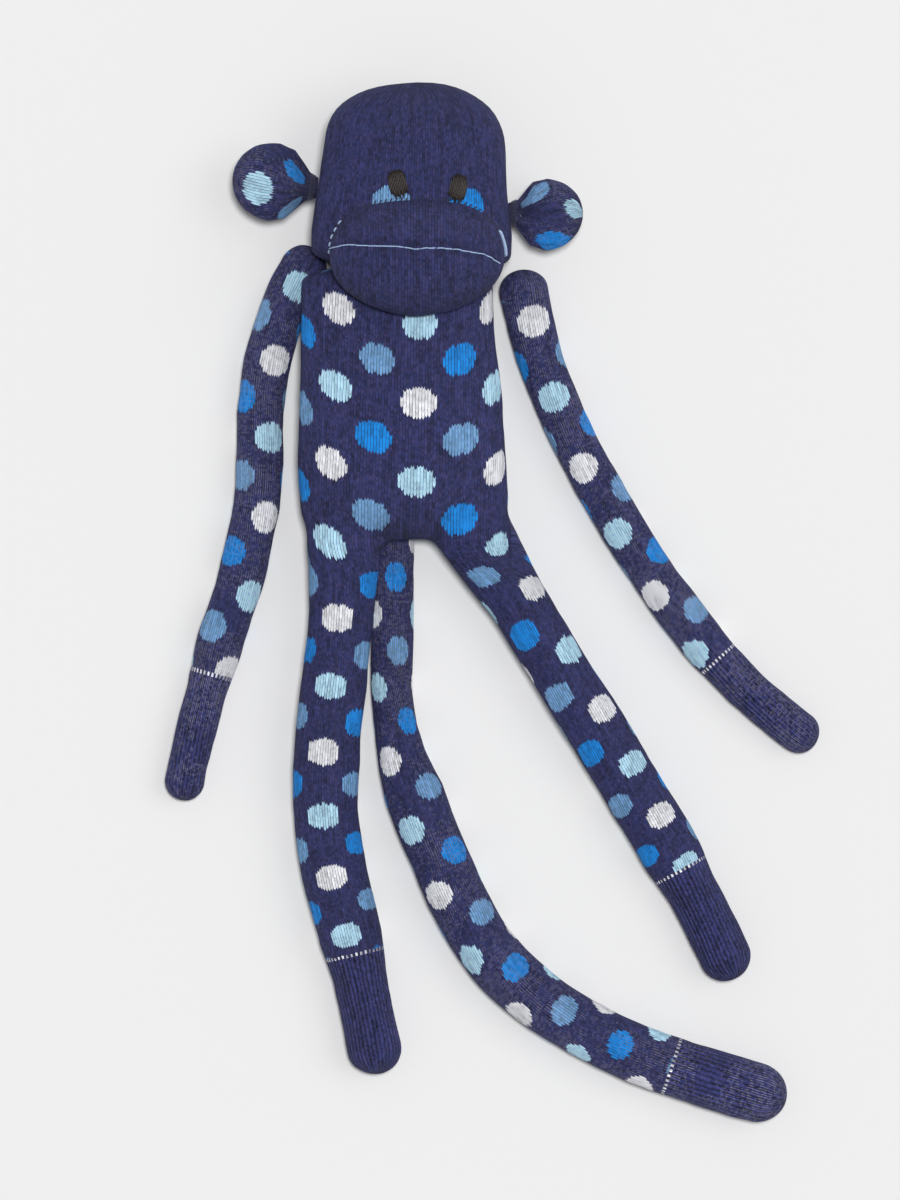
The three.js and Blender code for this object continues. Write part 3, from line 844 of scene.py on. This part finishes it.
class MONKEY_OT_torso_and_legs(bpy.types.Operator):
    """Make the torso and both legs, which are cut from one sock"""

    bl_idname = "monkey.torso_and_legs"
    bl_label = "Torso and Legs"

    def execute(self, context):
        sizes, knit = settings(context)
        torso = torso_shape(sizes)
        legs = {side: leg_shape(sizes, side) for side in SIDES}
        whole = tube_cover("torso_and_legs", torso, 0, torso.route.length, 2 * MM, 96)
        show_only(whole)
        for side in SIDES:
            leg = legs[side]
            part = tube_cover("leg_part", leg, -26 * MM, leg.route.length, 2 * MM, 64)
            part.select_set(True)
        bpy.ops.object.join()
        apply_modifier(whole, "REMESH", mode="VOXEL", voxel_size=1.5 * MM)
        apply_modifier(whole, "SMOOTH", factor=0.5, iterations=8)
        self.soften_hips(whole)
        knead(whole, 0.9 * MM, 26 * MM, 3)

        hip_y = float(HINGES["hip_right"][1])
        cut_y = hip_y + 6 * MM
        between_legs = float(HINGES["tail_lift"][0]) + 8 * MM
        cloth = sock_cloth(knit)
        for side, way in zip(SIDES, (1, -1)):
            leg = legs[side]
            knee = HINGES["knee_" + side]
            knee_s = float(leg.route.place(knee[None, :2])[0][0])
            split_s = 0.5 * knee_s + 10 * MM
            split, heading = leg.route.spot(split_s)
            upper = copy_of(whole, "thigh_cover_" + side)
            cut_away(upper, (0, cut_y, 0), (0, 1, 0))
            cut_away(upper, (between_legs, 0, 0), (way, 0, 0))
            lower = copy_of(upper, "shin_cover_" + side)
            cut_away(upper, (*split, 0), (*heading, 0))
            cut_away(lower, (*split, 0), (*-heading, 0))
            for piece in (upper, lower):
                self.dress_leg(piece, torso, leg, side, cloth)
            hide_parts(f"thigh_{side}_skin", f"thigh_{side}_stuffing")
            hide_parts(f"shin_{side}_skin", f"shin_{side}_stuffing")
            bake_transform(upper)
            bend_round(lower, leg.route, knee, 17 * MM, f"thigh_{side}", f"shin_{side}")
        whole.name = "torso_cover"
        cut_away(whole, (0, cut_y, 0), (0, -1, 0))
        self.dress_torso(whole, torso, legs, cloth)
        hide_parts("torso_skin", "torso_stuffing")
        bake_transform(whole)
        return {"FINISHED"}

    def soften_hips(self, whole):
        """Draws the cloth smoothly over from the torso into each leg."""
        group = whole.vertex_groups.new(name="hips")
        middle = float(HINGES["hip_right"][1]) + 18 * MM
        for vertex in whole.data.vertices:
            near = 1 - abs(vertex.co.y - middle) / (34 * MM)
            if near > 0:
                group.add([vertex.index], near, "REPLACE")
        apply_modifier(whole, "SMOOTH", factor=0.7, iterations=55, vertex_group="hips")

    def ease(self, spots, high, low):
        """A smooth share of 0 to 1 from one height to another, both measured from the crotch."""
        crotch = float(HINGES["hip_right"][1]) + 14 * MM
        share = np.clip((crotch + high - spots[:, 1]) / (high - low), 0, 1)
        return share * share * (3 - 2 * share)

    def leg_share(self, spots):
        """How far the knit of a leg has taken over from the torso's."""
        return self.ease(spots, 4 * MM, -22 * MM)

    def dress_torso(self, piece, torso, legs, cloth):
        """Lays the torso's knit, which turns into that of each leg at the hips."""
        between_legs = -37 * MM

        def layout(s, reach, spots):
            columns, rows = torso_layout(s, reach)
            right = np.clip(0.5 - (spots[:, 0] - between_legs) / (16 * MM), 0, 1)
            for side, leg in legs.items():
                along_leg, round_leg, _ = leg.unwrap(spots, GIRTH_AT["leg"])
                leg_columns, leg_rows = leg_layout(side, along_leg, round_leg)
                share = self.leg_share(spots) * (right if side == "right" else 1 - right)
                columns = columns + share * (leg_columns - columns)
                rows = rows + share * (leg_rows - rows)
            return columns, rows

        spots = points_of(piece)
        spread = self.ease(spots, 34 * MM, 6 * MM)
        lay_knit(piece, torso, GIRTH_AT["torso"], layout, spread, WAIST)
        finish_cover(piece, cloth, spotted=1 + 0.12 * self.leg_share(spots))

    def dress_leg(self, piece, torso, leg, side, cloth):
        """Lays the knit of a leg, which runs on from the torso's without a break."""
        def layout(s, reach, spots):
            share = self.leg_share(spots)
            columns, rows = leg_layout(side, s, reach)
            along_torso, round_torso, _ = torso.unwrap(spots, GIRTH_AT["torso"], 1.0, WAIST)
            torso_columns, torso_rows = torso_layout(along_torso, round_torso)
            return (torso_columns + share * (columns - torso_columns),
                    torso_rows + share * (rows - torso_rows))

        s = lay_knit(piece, leg, GIRTH_AT["leg"], layout)
        cuff = past(s, leg.route.length - CUFFS["leg"], 0.8 * MM)
        finish_cover(piece, cloth, cuff, 1 + 0.12 * self.leg_share(points_of(piece)))


class MONKEY_OT_head(bpy.types.Operator):
    """Make the head, from the plain foot of the sock, with one dot under each eye"""

    bl_idname = "monkey.head"
    bl_label = "Head"

    def execute(self, context):
        sizes, knit = settings(context)
        head = head_shape(sizes)
        cover = tube_cover("head_cover", head, 0, head.route.length, 1.6 * MM, 128)
        knead(cover, 1.0 * MM, 34 * MM, 11)
        lay_knit(cover, head, GIRTH_AT["head"], head_layout)
        spots = points_of(cover)
        near = np.zeros(len(spots))
        for above_neck, aside in ((59.2 * MM, 10.6 * MM), (58.1 * MM, -27.2 * MM)):
            middle, ahead = head.route.spot(above_neck - JAW)
            middle = middle + np.array([-ahead[1], ahead[0]]) * aside
            away = np.hypot(spots[:, 0] - middle[0], spots[:, 1] - middle[1])
            near = np.maximum(near, (away < 13 * MM) & (spots[:, 2] > 30 * MM))
        finish_cover(cover, sock_cloth(knit), spotted=near * 1.2)
        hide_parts("head_skin", "head_stuffing")
        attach(cover, "head")
        return {"FINISHED"}


class MONKEY_OT_arms(bpy.types.Operator):
    """Make both arms, each a knit tube that ends in a ribbed cuff"""

    bl_idname = "monkey.arms"
    bl_label = "Arms"

    def execute(self, context):
        sizes, knit = settings(context)
        for side in SIDES:
            arm = arm_shape(sizes, side)
            cover = tube_cover("arm_cover_" + side, arm, 0, arm.route.length, 1.5 * MM, 64)
            knead(cover, 0.8 * MM, 20 * MM, 21 if side == "right" else 22)
            s = lay_knit(cover, arm, GIRTH_AT["arm"],
                         lambda s, reach, spots: arm_layout(side, s, reach))
            cuff = past(s, arm.route.length - CUFFS["arm"], 0.9 * MM)
            plain_top = (8 if side == "right" else 14) * MM
            finish_cover(cover, sock_cloth(knit, STRETCHED), cuff, np.where(s > plain_top, 1.2, 0))
            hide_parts(f"upper_arm_{side}_skin", f"upper_arm_{side}_stuffing",
                        f"forearm_{side}_skin", f"forearm_{side}_stuffing")
            bend_round(cover, arm.route, HINGES["elbow_" + side], 15 * MM,
                       f"upper_arm_{side}", f"forearm_{side}")
        return {"FINISHED"}


class MONKEY_OT_tail(bpy.types.Operator):
    """Make the long tail in two covers that meet between its two folds"""

    bl_idname = "monkey.tail"
    bl_label = "Tail"

    def execute(self, context):
        sizes, knit = settings(context)
        tail = tail_shape(sizes)
        whole = tube_cover("tail_cover_tip", tail, 0, sizes.tail_length, 1.5 * MM, 72)
        knead(whole, 0.8 * MM, 24 * MM, 31)
        lift, curl = HINGES["tail_lift"], HINGES["tail_curl"]
        lift_s, curl_s = tail.route.place(np.array([lift[:2], curl[:2]]))[0]
        split, heading = tail.route.spot((lift_s + curl_s) / 2)
        upper = copy_of(whole, "tail_cover_upper")
        cut_away(upper, (*split, 0), (*heading, 0))
        cut_away(whole, (*split, 0), (*-heading, 0))
        for piece in (upper, whole):
            s = lay_knit(piece, tail, GIRTH_AT["tail"],
                         lambda s, reach, spots: tail_layout(s, reach))
            cuff = past(s, sizes.tail_length - CUFFS["tail"], 0.9 * MM)
            finish_cover(piece, sock_cloth(knit, STRETCHED), cuff)
        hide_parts("tail_root_skin", "tail_root_stuffing",
                    "tail_middle_skin", "tail_middle_stuffing")
        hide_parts("tail_tip_skin", "tail_tip_stuffing")
        bend_round(upper, tail.route, lift, 15 * MM, "torso", "tail_middle")
        bend_round(whole, tail.route, curl, 15 * MM, "tail_middle", "tail_tip")
        return {"FINISHED"}


class MONKEY_OT_ears(bpy.types.Operator):
    """Make both ears, gathered to a pleated neck"""

    bl_idname = "monkey.ears"
    bl_label = "Ears"

    def execute(self, context):
        sizes, knit = settings(context)
        for side in SIDES:
            ear = ear_shape(sizes, side)
            cover = tube_cover("ear_cover_" + side, ear, 0, ear.route.length, 0.8 * MM, 128)
            self.pleat(cover, ear, (1.0 if side == "right" else 5.0) * MM)
            knead(cover, 0.7 * MM, 16 * MM, 41 if side == "right" else 42)
            s = lay_knit(cover, ear, ear.route.length * 0.5,
                         lambda s, reach, spots: ear_layout(side, s, reach))
            finish_cover(cover, sock_cloth(knit, STRETCHED), spotted=s > 6.5 * MM)
            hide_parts(f"ear_{side}_skin", f"ear_{side}_stuffing")
            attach(cover, "ear_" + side)
        return {"FINISHED"}

    def pleat(self, cover, ear, crease):
        """Pleats that fan out from the gather and die away towards the rim, and one crease."""
        points = points_of(cover)
        s, offset = ear.route.place(points[:, :2])
        middle = ear.route.at(s)
        raised = points[:, 2] - ear.measure(ear.lift, s) - ear.measure(ear.depth, s) / 2
        turn = np.arctan2(offset, raised)
        fade = np.exp(-((s / (10 * MM)) ** 2))
        push = 1 + 0.12 * fade * np.cos(turn * 9 + 0.7 * np.sin(turn * 3))
        points[:, :2] = middle + (points[:, :2] - middle) * push[:, None]
        points[:, 2] += raised * (push - 1)
        pinch = np.exp(-((offset / (2.2 * MM)) ** 2)) * (raised > 0)
        pinch = pinch * np.clip(1.2 - s / (24 * MM), 0, 1) * np.clip(s / (6 * MM), 0, 1)
        points[:, 2] -= crease * pinch
        move_points(cover, points)


class MONKEY_OT_muzzle(bpy.types.Operator):
    """Make the muzzle, an oval from the sock's heel that is sewn over the lower face"""

    bl_idname = "monkey.muzzle"
    bl_label = "Muzzle"

    def execute(self, context):
        sizes, knit = settings(context)
        muzzle = muzzle_oval(sizes)
        rings, sides = 56, 144
        points = []
        for ring in range(1, rings):
            lean = math.pi * ring / rings
            for j in range(sides):
                points.append(muzzle(lean, math.tau * j / sides))
        top = len(points)
        points.append(muzzle(0.0, 0.0))
        points.append(muzzle(math.pi, 0.0))
        faces = []
        last = (rings - 2) * sides
        for j in range(sides):
            k = (j + 1) % sides
            faces.append((top, j, k))
            faces.append((top + 1, last + k, last + j))
            for ring in range(rings - 2):
                a, b = ring * sides, (ring + 1) * sides
                faces.append((a + j, b + j, b + k, a + k))
        cover = add_mesh("muzzle_cover", points, faces)
        tidy_surface(cover)
        knead(cover, 0.8 * MM, 22 * MM, 51)
        self.crease(cover, sizes)
        middle = muzzle_middle(sizes)
        spots = points_of(cover)[corners_of(cover.data)]
        stitches = []
        for axis, across, stitch in (
                (0, sizes.muzzle_width, 1.5 * MM), (1, sizes.muzzle_height, 1.1 * MM)):
            share = (spots[:, axis] - middle[axis]) / (across / 2)
            stitches.append(np.arcsin(np.clip(share, -1, 1)) * 0.5 * across / stitch)
        write_knit(cover.data, *stitches)
        finish_cover(cover, sock_cloth(knit), spotted=0.0)
        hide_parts("muzzle_skin", "muzzle_stuffing")
        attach(cover, "head")
        return {"FINISHED"}

    def crease(self, cover, sizes):
        """Draws the cover in along the mouth."""
        points = points_of(cover)
        middle = muzzle_middle(sizes)
        x = points[:, 0] - middle[0]
        gap = points[:, 1] - middle[1] - mouth_line(x)
        front = points[:, 2] > middle[2] + 1 * MM
        ends = np.clip(1.15 - np.abs(x) / (sizes.muzzle_width * 0.47), 0, 1) ** 0.3
        depth = 3.4 * MM * np.exp(-((gap / (2.6 * MM)) ** 2)) * ends * front
        swell = 1.0 * MM * np.exp(-((np.abs(gap) - 7 * MM) / (4 * MM)) ** 2) * ends * front
        points[:, 2] += swell - depth
        move_points(cover, points)


def muzzle_middle(sizes):
    """The middle of the widest part of the muzzle."""
    middle, _ = head_shape(sizes).route.spot(30.8 * MM - JAW)
    return np.array([middle[0] + 3 * MM, middle[1], 56 * MM])


def muzzle_oval(sizes):
    """Points of the muzzle at a lean from its front and a turn round it."""
    middle = muzzle_middle(sizes)
    half_width, half_height = sizes.muzzle_width / 2, sizes.muzzle_height / 2

    def point(lean, turn):
        out = math.sin(lean)
        x = math.cos(turn)
        y = math.sin(turn)
        power = 2.35 if y > 0 else 1.95
        bulge = (abs(x) ** power + abs(y) ** power) ** (-1 / power)
        deep = sizes.muzzle_proud if lean < math.pi / 2 else 9 * MM
        return (middle[0] + half_width * out * bulge * x,
                middle[1] + half_height * out * bulge * y,
                middle[2] + deep * math.cos(lean))

    return point


def mouth_line(x):
    """How far above the middle of the muzzle the mouth runs, at an offset to its side."""
    across = (-47, -41, -34, -23, -10, -1, 9, 17, 28, 35, 42)
    above = (2.2, 4.4, 5.6, 4.8, 4.6, 3.3, 3.8, 3.4, 1.8, 0.3, -4.2)
    return np.interp(x / MM, across, above) * MM


def on_top(covers, x, y):
    """The place and the normal of the topmost cover at a point seen from above."""
    best = None
    for cover in covers:
        hit, place, normal, _ = cover.ray_cast(Vector((x, y, 1.0)), Vector((0, 0, -1)))
        if hit and (best is None or place.z > best[0].z):
            best = (place, normal)
    return best


# How thick the one stitch is that all the others are scaled from, which is 1 long
STITCH_THICK = 0.32


def one_stitch():
    """A stitch of unit length along X: a round thread bent over an arc, its ends in the cloth."""
    steps, sides = 8, 8
    points = []
    for bend in np.linspace(0.0, math.pi, steps + 1):
        for turn in np.arange(sides) / sides * math.tau:
            out = 0.5 + STITCH_THICK / 2 * math.cos(turn)
            aside = STITCH_THICK / 2 * math.sin(turn)
            points.append((-out * math.cos(bend), aside, out * math.sin(bend)))
    stitch = add_mesh("stitch", points, band_faces(steps + 1, sides))
    tidy_surface(stitch)
    return stitch


def sew(name, stitch, places):
    """Copies of one stitch, each with a middle, a direction, a normal, a length and a thickness."""
    made = bmesh.new()
    for middle, along, normal, length, thick in places:
        z = Vector(normal).normalized()
        x = (Vector(along) - z * Vector(along).dot(z)).normalized()
        y = z.cross(x)
        turn = Matrix((x, y, z)).transposed().to_4x4()
        scale = Matrix.Diagonal((length, thick / STITCH_THICK, thick * 1.5, 1.0))
        mesh = stitch.data.copy()
        mesh.transform(Matrix.Translation(middle) @ turn @ scale)
        made.from_mesh(mesh)
        bpy.data.meshes.remove(mesh)
    bmesh.ops.recalc_face_normals(made, faces=made.faces)
    sewn = add_mesh(name, [], [])
    for face in made.faces:
        face.smooth = True
    made.to_mesh(sewn.data)
    made.free()
    return sewn


def along_line(covers, line, length, gap):
    """Places for a running stitch along a list of points seen from above."""
    places = []
    line = [np.array(p) for p in line]
    reach = np.concatenate(
        [[0], np.cumsum([np.linalg.norm(b - a) for a, b in zip(line, line[1:])])])
    at = length / 2
    while at < reach[-1] - length / 2:
        spots = []
        for s in (at - length / 2, at, at + length / 2):
            x = np.interp(s, reach, [p[0] for p in line])
            y = np.interp(s, reach, [p[1] for p in line])
            spots.append(on_top(covers, float(x), float(y)))
        if all(spots):
            (a, _), (b, normal), (c, _) = spots
            places.append(((a + b + c) / 3, c - a, normal, (c - a).length))
        at += length + gap
    return places


class MONKEY_OT_face(bpy.types.Operator):
    """Sew the mouth, the muzzle's seam and the satin stitches of the eyes"""

    bl_idname = "monkey.face"
    bl_label = "Face Stitches"

    def execute(self, context):
        sizes, knit = settings(context)
        head = bpy.data.objects["head_cover"]
        muzzle = bpy.data.objects["muzzle_cover"]
        stitch = one_stitch()
        middle = muzzle_middle(sizes)
        pale = thread_finish("pale thread", knit.pale_thread, 0.6, 0.2)
        navy = thread_finish("navy thread", knit.navy_thread, 0.7, 0.2)

        x = np.linspace(-0.485, 0.485, 60) * sizes.muzzle_width
        line = [(middle[0] + a, middle[1] + mouth_line(a)) for a in x]
        places = along_line([muzzle, head], line, 3.4 * MM, 0.7 * MM)
        mouth = sew("mouth_stitches", stitch, [(*p, 0.6 * MM) for p in places])
        self.finish(mouth, pale, "pale_thread", "mouth_stitch")

        rim = self.rim(sizes, head, muzzle)
        places = []
        for i in range(0, len(rim) - 1, 2):
            (a, normal), (b, _) = rim[i], rim[i + 1]
            step = (b - a).normalized()
            over = normal.cross(step)
            slant = (over + step * 0.6).normalized()
            places.append((a, slant, normal, 2.8 * MM, 0.75 * MM))
        seam = sew("muzzle_seam_stitches", stitch, places)
        self.finish(seam, navy, "navy_thread", "muzzle_seam_thread")

        # Pale thread shows in short dashes at the right end and closed up at the left
        places = []
        for i in range(len(rim) - 1):
            (a, normal), (b, _) = rim[i], rim[i + 1]
            proud = a + normal * 0.3 * MM
            turn = math.degrees(math.atan2(a.y - middle[1], a.x - middle[0]))
            if 156 < turn < 178 and i % 4 == 0:
                places.append((proud, b - a, normal, 2.0 * MM, 1.0 * MM))
            elif 2 < turn < 16:
                places.append((proud, b - a, normal, 2.6 * MM, 1.5 * MM))
        show = sew("muzzle_pale_stitches", stitch, places)
        show.data.materials.append(pale)
        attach(show, "head")

        self.eyes(sizes, knit, head, stitch)
        discard(stitch)
        return {"FINISHED"}

    def rim(self, sizes, head, muzzle):
        """Points where the muzzle meets the face, from its right end over the top to its left."""
        middle = muzzle_middle(sizes)
        found = []
        for i in range(121):
            turn = math.radians(196 - 212 * i / 120)
            way = Vector((math.cos(turn) * sizes.muzzle_width, math.sin(turn) * sizes.muzzle_height))
            low, high = 0.30, 0.62
            for _ in range(18):
                half = (low + high) / 2
                x, y = middle[0] + way.x * half, middle[1] + way.y * half
                on_muzzle = on_top([muzzle], x, y)
                on_head = on_top([head], x, y)
                if on_muzzle and (not on_head or on_muzzle[0].z > on_head[0].z):
                    low = half
                else:
                    high = half
            spot = on_top([head], middle[0] + way.x * high, middle[1] + way.y * high)
            if spot and spot[0].z > 40 * MM:
                found.append(spot)
        return found

    def eyes(self, sizes, knit, head, stitch):
        """Each eye is a padded oval of satin stitches, laid side by side and a little aslant."""
        satin = thread_finish("eye thread", knit.eye_thread, 0.42, 0.0, 0.4)
        shape = head_shape(sizes)
        count = 11
        for side, out, tilt, rise in (("right", -1, 12, 67.0), ("left", 1, -12, 64.8)):
            middle, _ = shape.route.spot(rise * MM - JAW)
            x = middle[0] + (out * 15 + 7.4) * MM
            place, normal = on_top([head], float(x), float(middle[1]))
            up = Matrix.Rotation(math.radians(tilt), 3, normal) @ Vector((0, 1, 0))
            up = (up - normal * up.dot(normal)).normalized()
            over = up.cross(normal)
            places = []
            for i in range(count):
                share = (i - (count - 1) / 2) / (count / 2)
                round_off = (1 - abs(share) ** 3) ** (1 / 3)
                spot = place + over * share * 4.5 * MM
                spot = spot + normal * (1.3 * MM * math.sqrt(1 - share * share) - 0.3 * MM)
                slip = 0.5 * MM * math.sin(i * 2.4)
                length = (10.9 + 0.7 * math.cos(i * 3.7)) * MM * round_off
                places.append((spot + up * slip, up, normal, length, 0.86 * MM))
            eye = sew("eye_stitches_" + side, stitch, places)
            self.finish(eye, satin, "eye_thread", "eye_" + side)

    def finish(self, piece, material, slot, node):
        """The last steps that the mouth, the seam and the eyes share."""
        piece.data.materials.append(material)
        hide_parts(node)
        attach(piece, "head")


class MONKEY_OT_gathers(bpy.types.Operator):
    """Wind the gathering threads round the neck and the ears"""

    bl_idname = "monkey.gathers"
    bl_label = "Gathering Threads"

    def execute(self, context):
        sizes, _ = settings(context)
        material = bpy.data.materials["navy thread"]
        torso = torso_shape(sizes)
        self.wind("neck_gather", torso, (2.4 * MM, 3.4 * MM), 0.5 * MM, material, 0.9)
        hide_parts("neck_thread")
        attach(bpy.data.objects["neck_gather"], "head")
        for side in SIDES:
            ear = ear_shape(sizes, side)
            name = "ear_gather_" + side
            self.wind(name, ear, (2.0 * MM, 2.9 * MM, 3.7 * MM), 0.4 * MM, material)
            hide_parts(f"ear_{side}_thread")
            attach(bpy.data.objects[name], "ear_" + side)
        return {"FINISHED"}

    def wind(self, name, tube, lengths, radius, material, tight=1.0):
        """Turns of thread laid side by side round a tube, drawn in at its sides where tight."""
        curve = bpy.data.curves.new(name, "CURVE")
        curve.dimensions = "3D"
        curve.bevel_depth = radius
        curve.bevel_resolution = 2
        turns = np.linspace(0, math.tau, 97)[:-1]
        for at in lengths:
            spline = curve.splines.new("POLY")
            spline.use_cyclic_u = True
            spline.points.add(len(turns) - 1)
            ring = tube.surface(np.full_like(turns, at), turns)
            middle = ring.mean(0)
            ring[:, 0] = middle[0] + (ring[:, 0] - middle[0]) * tight
            for i, point in enumerate(ring):
                away = point - middle
                point = middle + away * (1 + 0.6 * MM / np.linalg.norm(away))
                spline.points[i].co = (*point, 1.0)
        wound = bpy.data.objects.new(name, curve)
        bpy.context.scene.collection.objects.link(wound)
        show_only(wound)
        bpy.ops.object.convert(target="MESH")
        wound = bpy.context.object
        points = points_of(wound)
        points[:, 2] = np.maximum(points[:, 2], 0.2 * MM)
        move_points(wound, points)
        wound.data.materials.append(material)


class MONKEY_OT_stage(bpy.types.Operator):
    """Set the plain floor, the soft lights and the camera overhead"""

    bl_idname = "monkey.stage"
    bl_label = "Stage"

    def execute(self, context):
        _, knit = settings(context)
        bpy.ops.object.select_all(action="DESELECT")
        bpy.ops.mesh.primitive_plane_add(size=40.0, location=(0, 0, -0.0003))
        floor = context.object
        floor.name = "floor"
        paper = Finish("pale paper")
        grain = paper.mottle(600.0)
        paper.raise_up(grain, 0.00002)
        tint = paper.darken((*knit.floor,), grain * 0.01 + 0.99)
        floor.data.materials.append(paper.surface(tint, 0.9, 0.0, 0.1))

        world = bpy.data.worlds.new("soft studio")
        world.use_nodes = True
        background = world.node_tree.nodes["Background"]
        background.inputs["Color"].default_value = (1.0, 1.0, 1.0, 1.0)
        background.inputs["Strength"].default_value = 0.23
        context.scene.world = world
        self.sun("key light", 2.20, 9, (0.05, 0.07, 1.0))
        self.sun("fill light", 0.45, 40, (0.60, 0.10, 0.8))

        lens, sensor = 600.0, 36.0
        tall = 0.600
        middle = HINGES["head_nod"] + np.array([0.02625, -0.1405, 0.0])
        camera_data = bpy.data.cameras.new("overhead camera")
        camera_data.lens = lens
        camera_data.sensor_width = sensor
        camera_data.clip_end = 50.0
        camera = bpy.data.objects.new("overhead camera", camera_data)
        camera.location = (middle[0], middle[1], 0.025 + tall * lens / sensor)
        context.scene.collection.objects.link(camera)
        context.scene.camera = camera
        context.scene.view_settings.view_transform = "Standard"
        return {"FINISHED"}

    def sun(self, name, strength, spread, towards):
        light = bpy.data.lights.new(name, "SUN")
        light.energy = strength
        light.angle = math.radians(spread)
        lamp = bpy.data.objects.new(name, light)
        lamp.rotation_mode = "QUATERNION"
        lamp.rotation_quaternion = Vector(towards).to_track_quat("Z", "Y")
        bpy.context.scene.collection.objects.link(lamp)


STEPS = (
    MONKEY_OT_torso_and_legs,
    MONKEY_OT_head,
    MONKEY_OT_muzzle,
    MONKEY_OT_face,
    MONKEY_OT_ears,
    MONKEY_OT_arms,
    MONKEY_OT_tail,
    MONKEY_OT_gathers,
    MONKEY_OT_stage,
)


class MONKEY_PT_panel(bpy.types.Panel):
    """Lists the steps that make the sock monkey"""

    bl_idname = "MONKEY_PT_panel"
    bl_label = "Sock Monkey"
    bl_space_type = "VIEW_3D"
    bl_region_type = "UI"
    bl_category = "Sock Monkey"

    def draw(self, context):
        for group in settings(context):
            box = self.layout.box()
            for name in group.bl_rna.properties.keys():
                if name not in ("rna_type", "name"):
                    box.prop(group, name)
        for step in STEPS:
            self.layout.operator(step.bl_idname)


CLASSES = (MonkeySizes, MonkeyKnit, *STEPS, MONKEY_PT_panel)


def register():
    for one in CLASSES:
        bpy.utils.register_class(one)
    bpy.types.Scene.monkey_sizes = PointerProperty(type=MonkeySizes)
    bpy.types.Scene.monkey_knit = PointerProperty(type=MonkeyKnit)


def unregister():
    del bpy.types.Scene.monkey_knit
    del bpy.types.Scene.monkey_sizes
    for one in reversed(CLASSES):
        bpy.utils.unregister_class(one)


def main():
    register()
    bpy.ops.object.select_all(action="DESELECT")
    for step in STEPS:
        group, name = step.bl_idname.split(".")
        getattr(getattr(bpy.ops, group), name)()


if __name__ == "__main__":
    main()
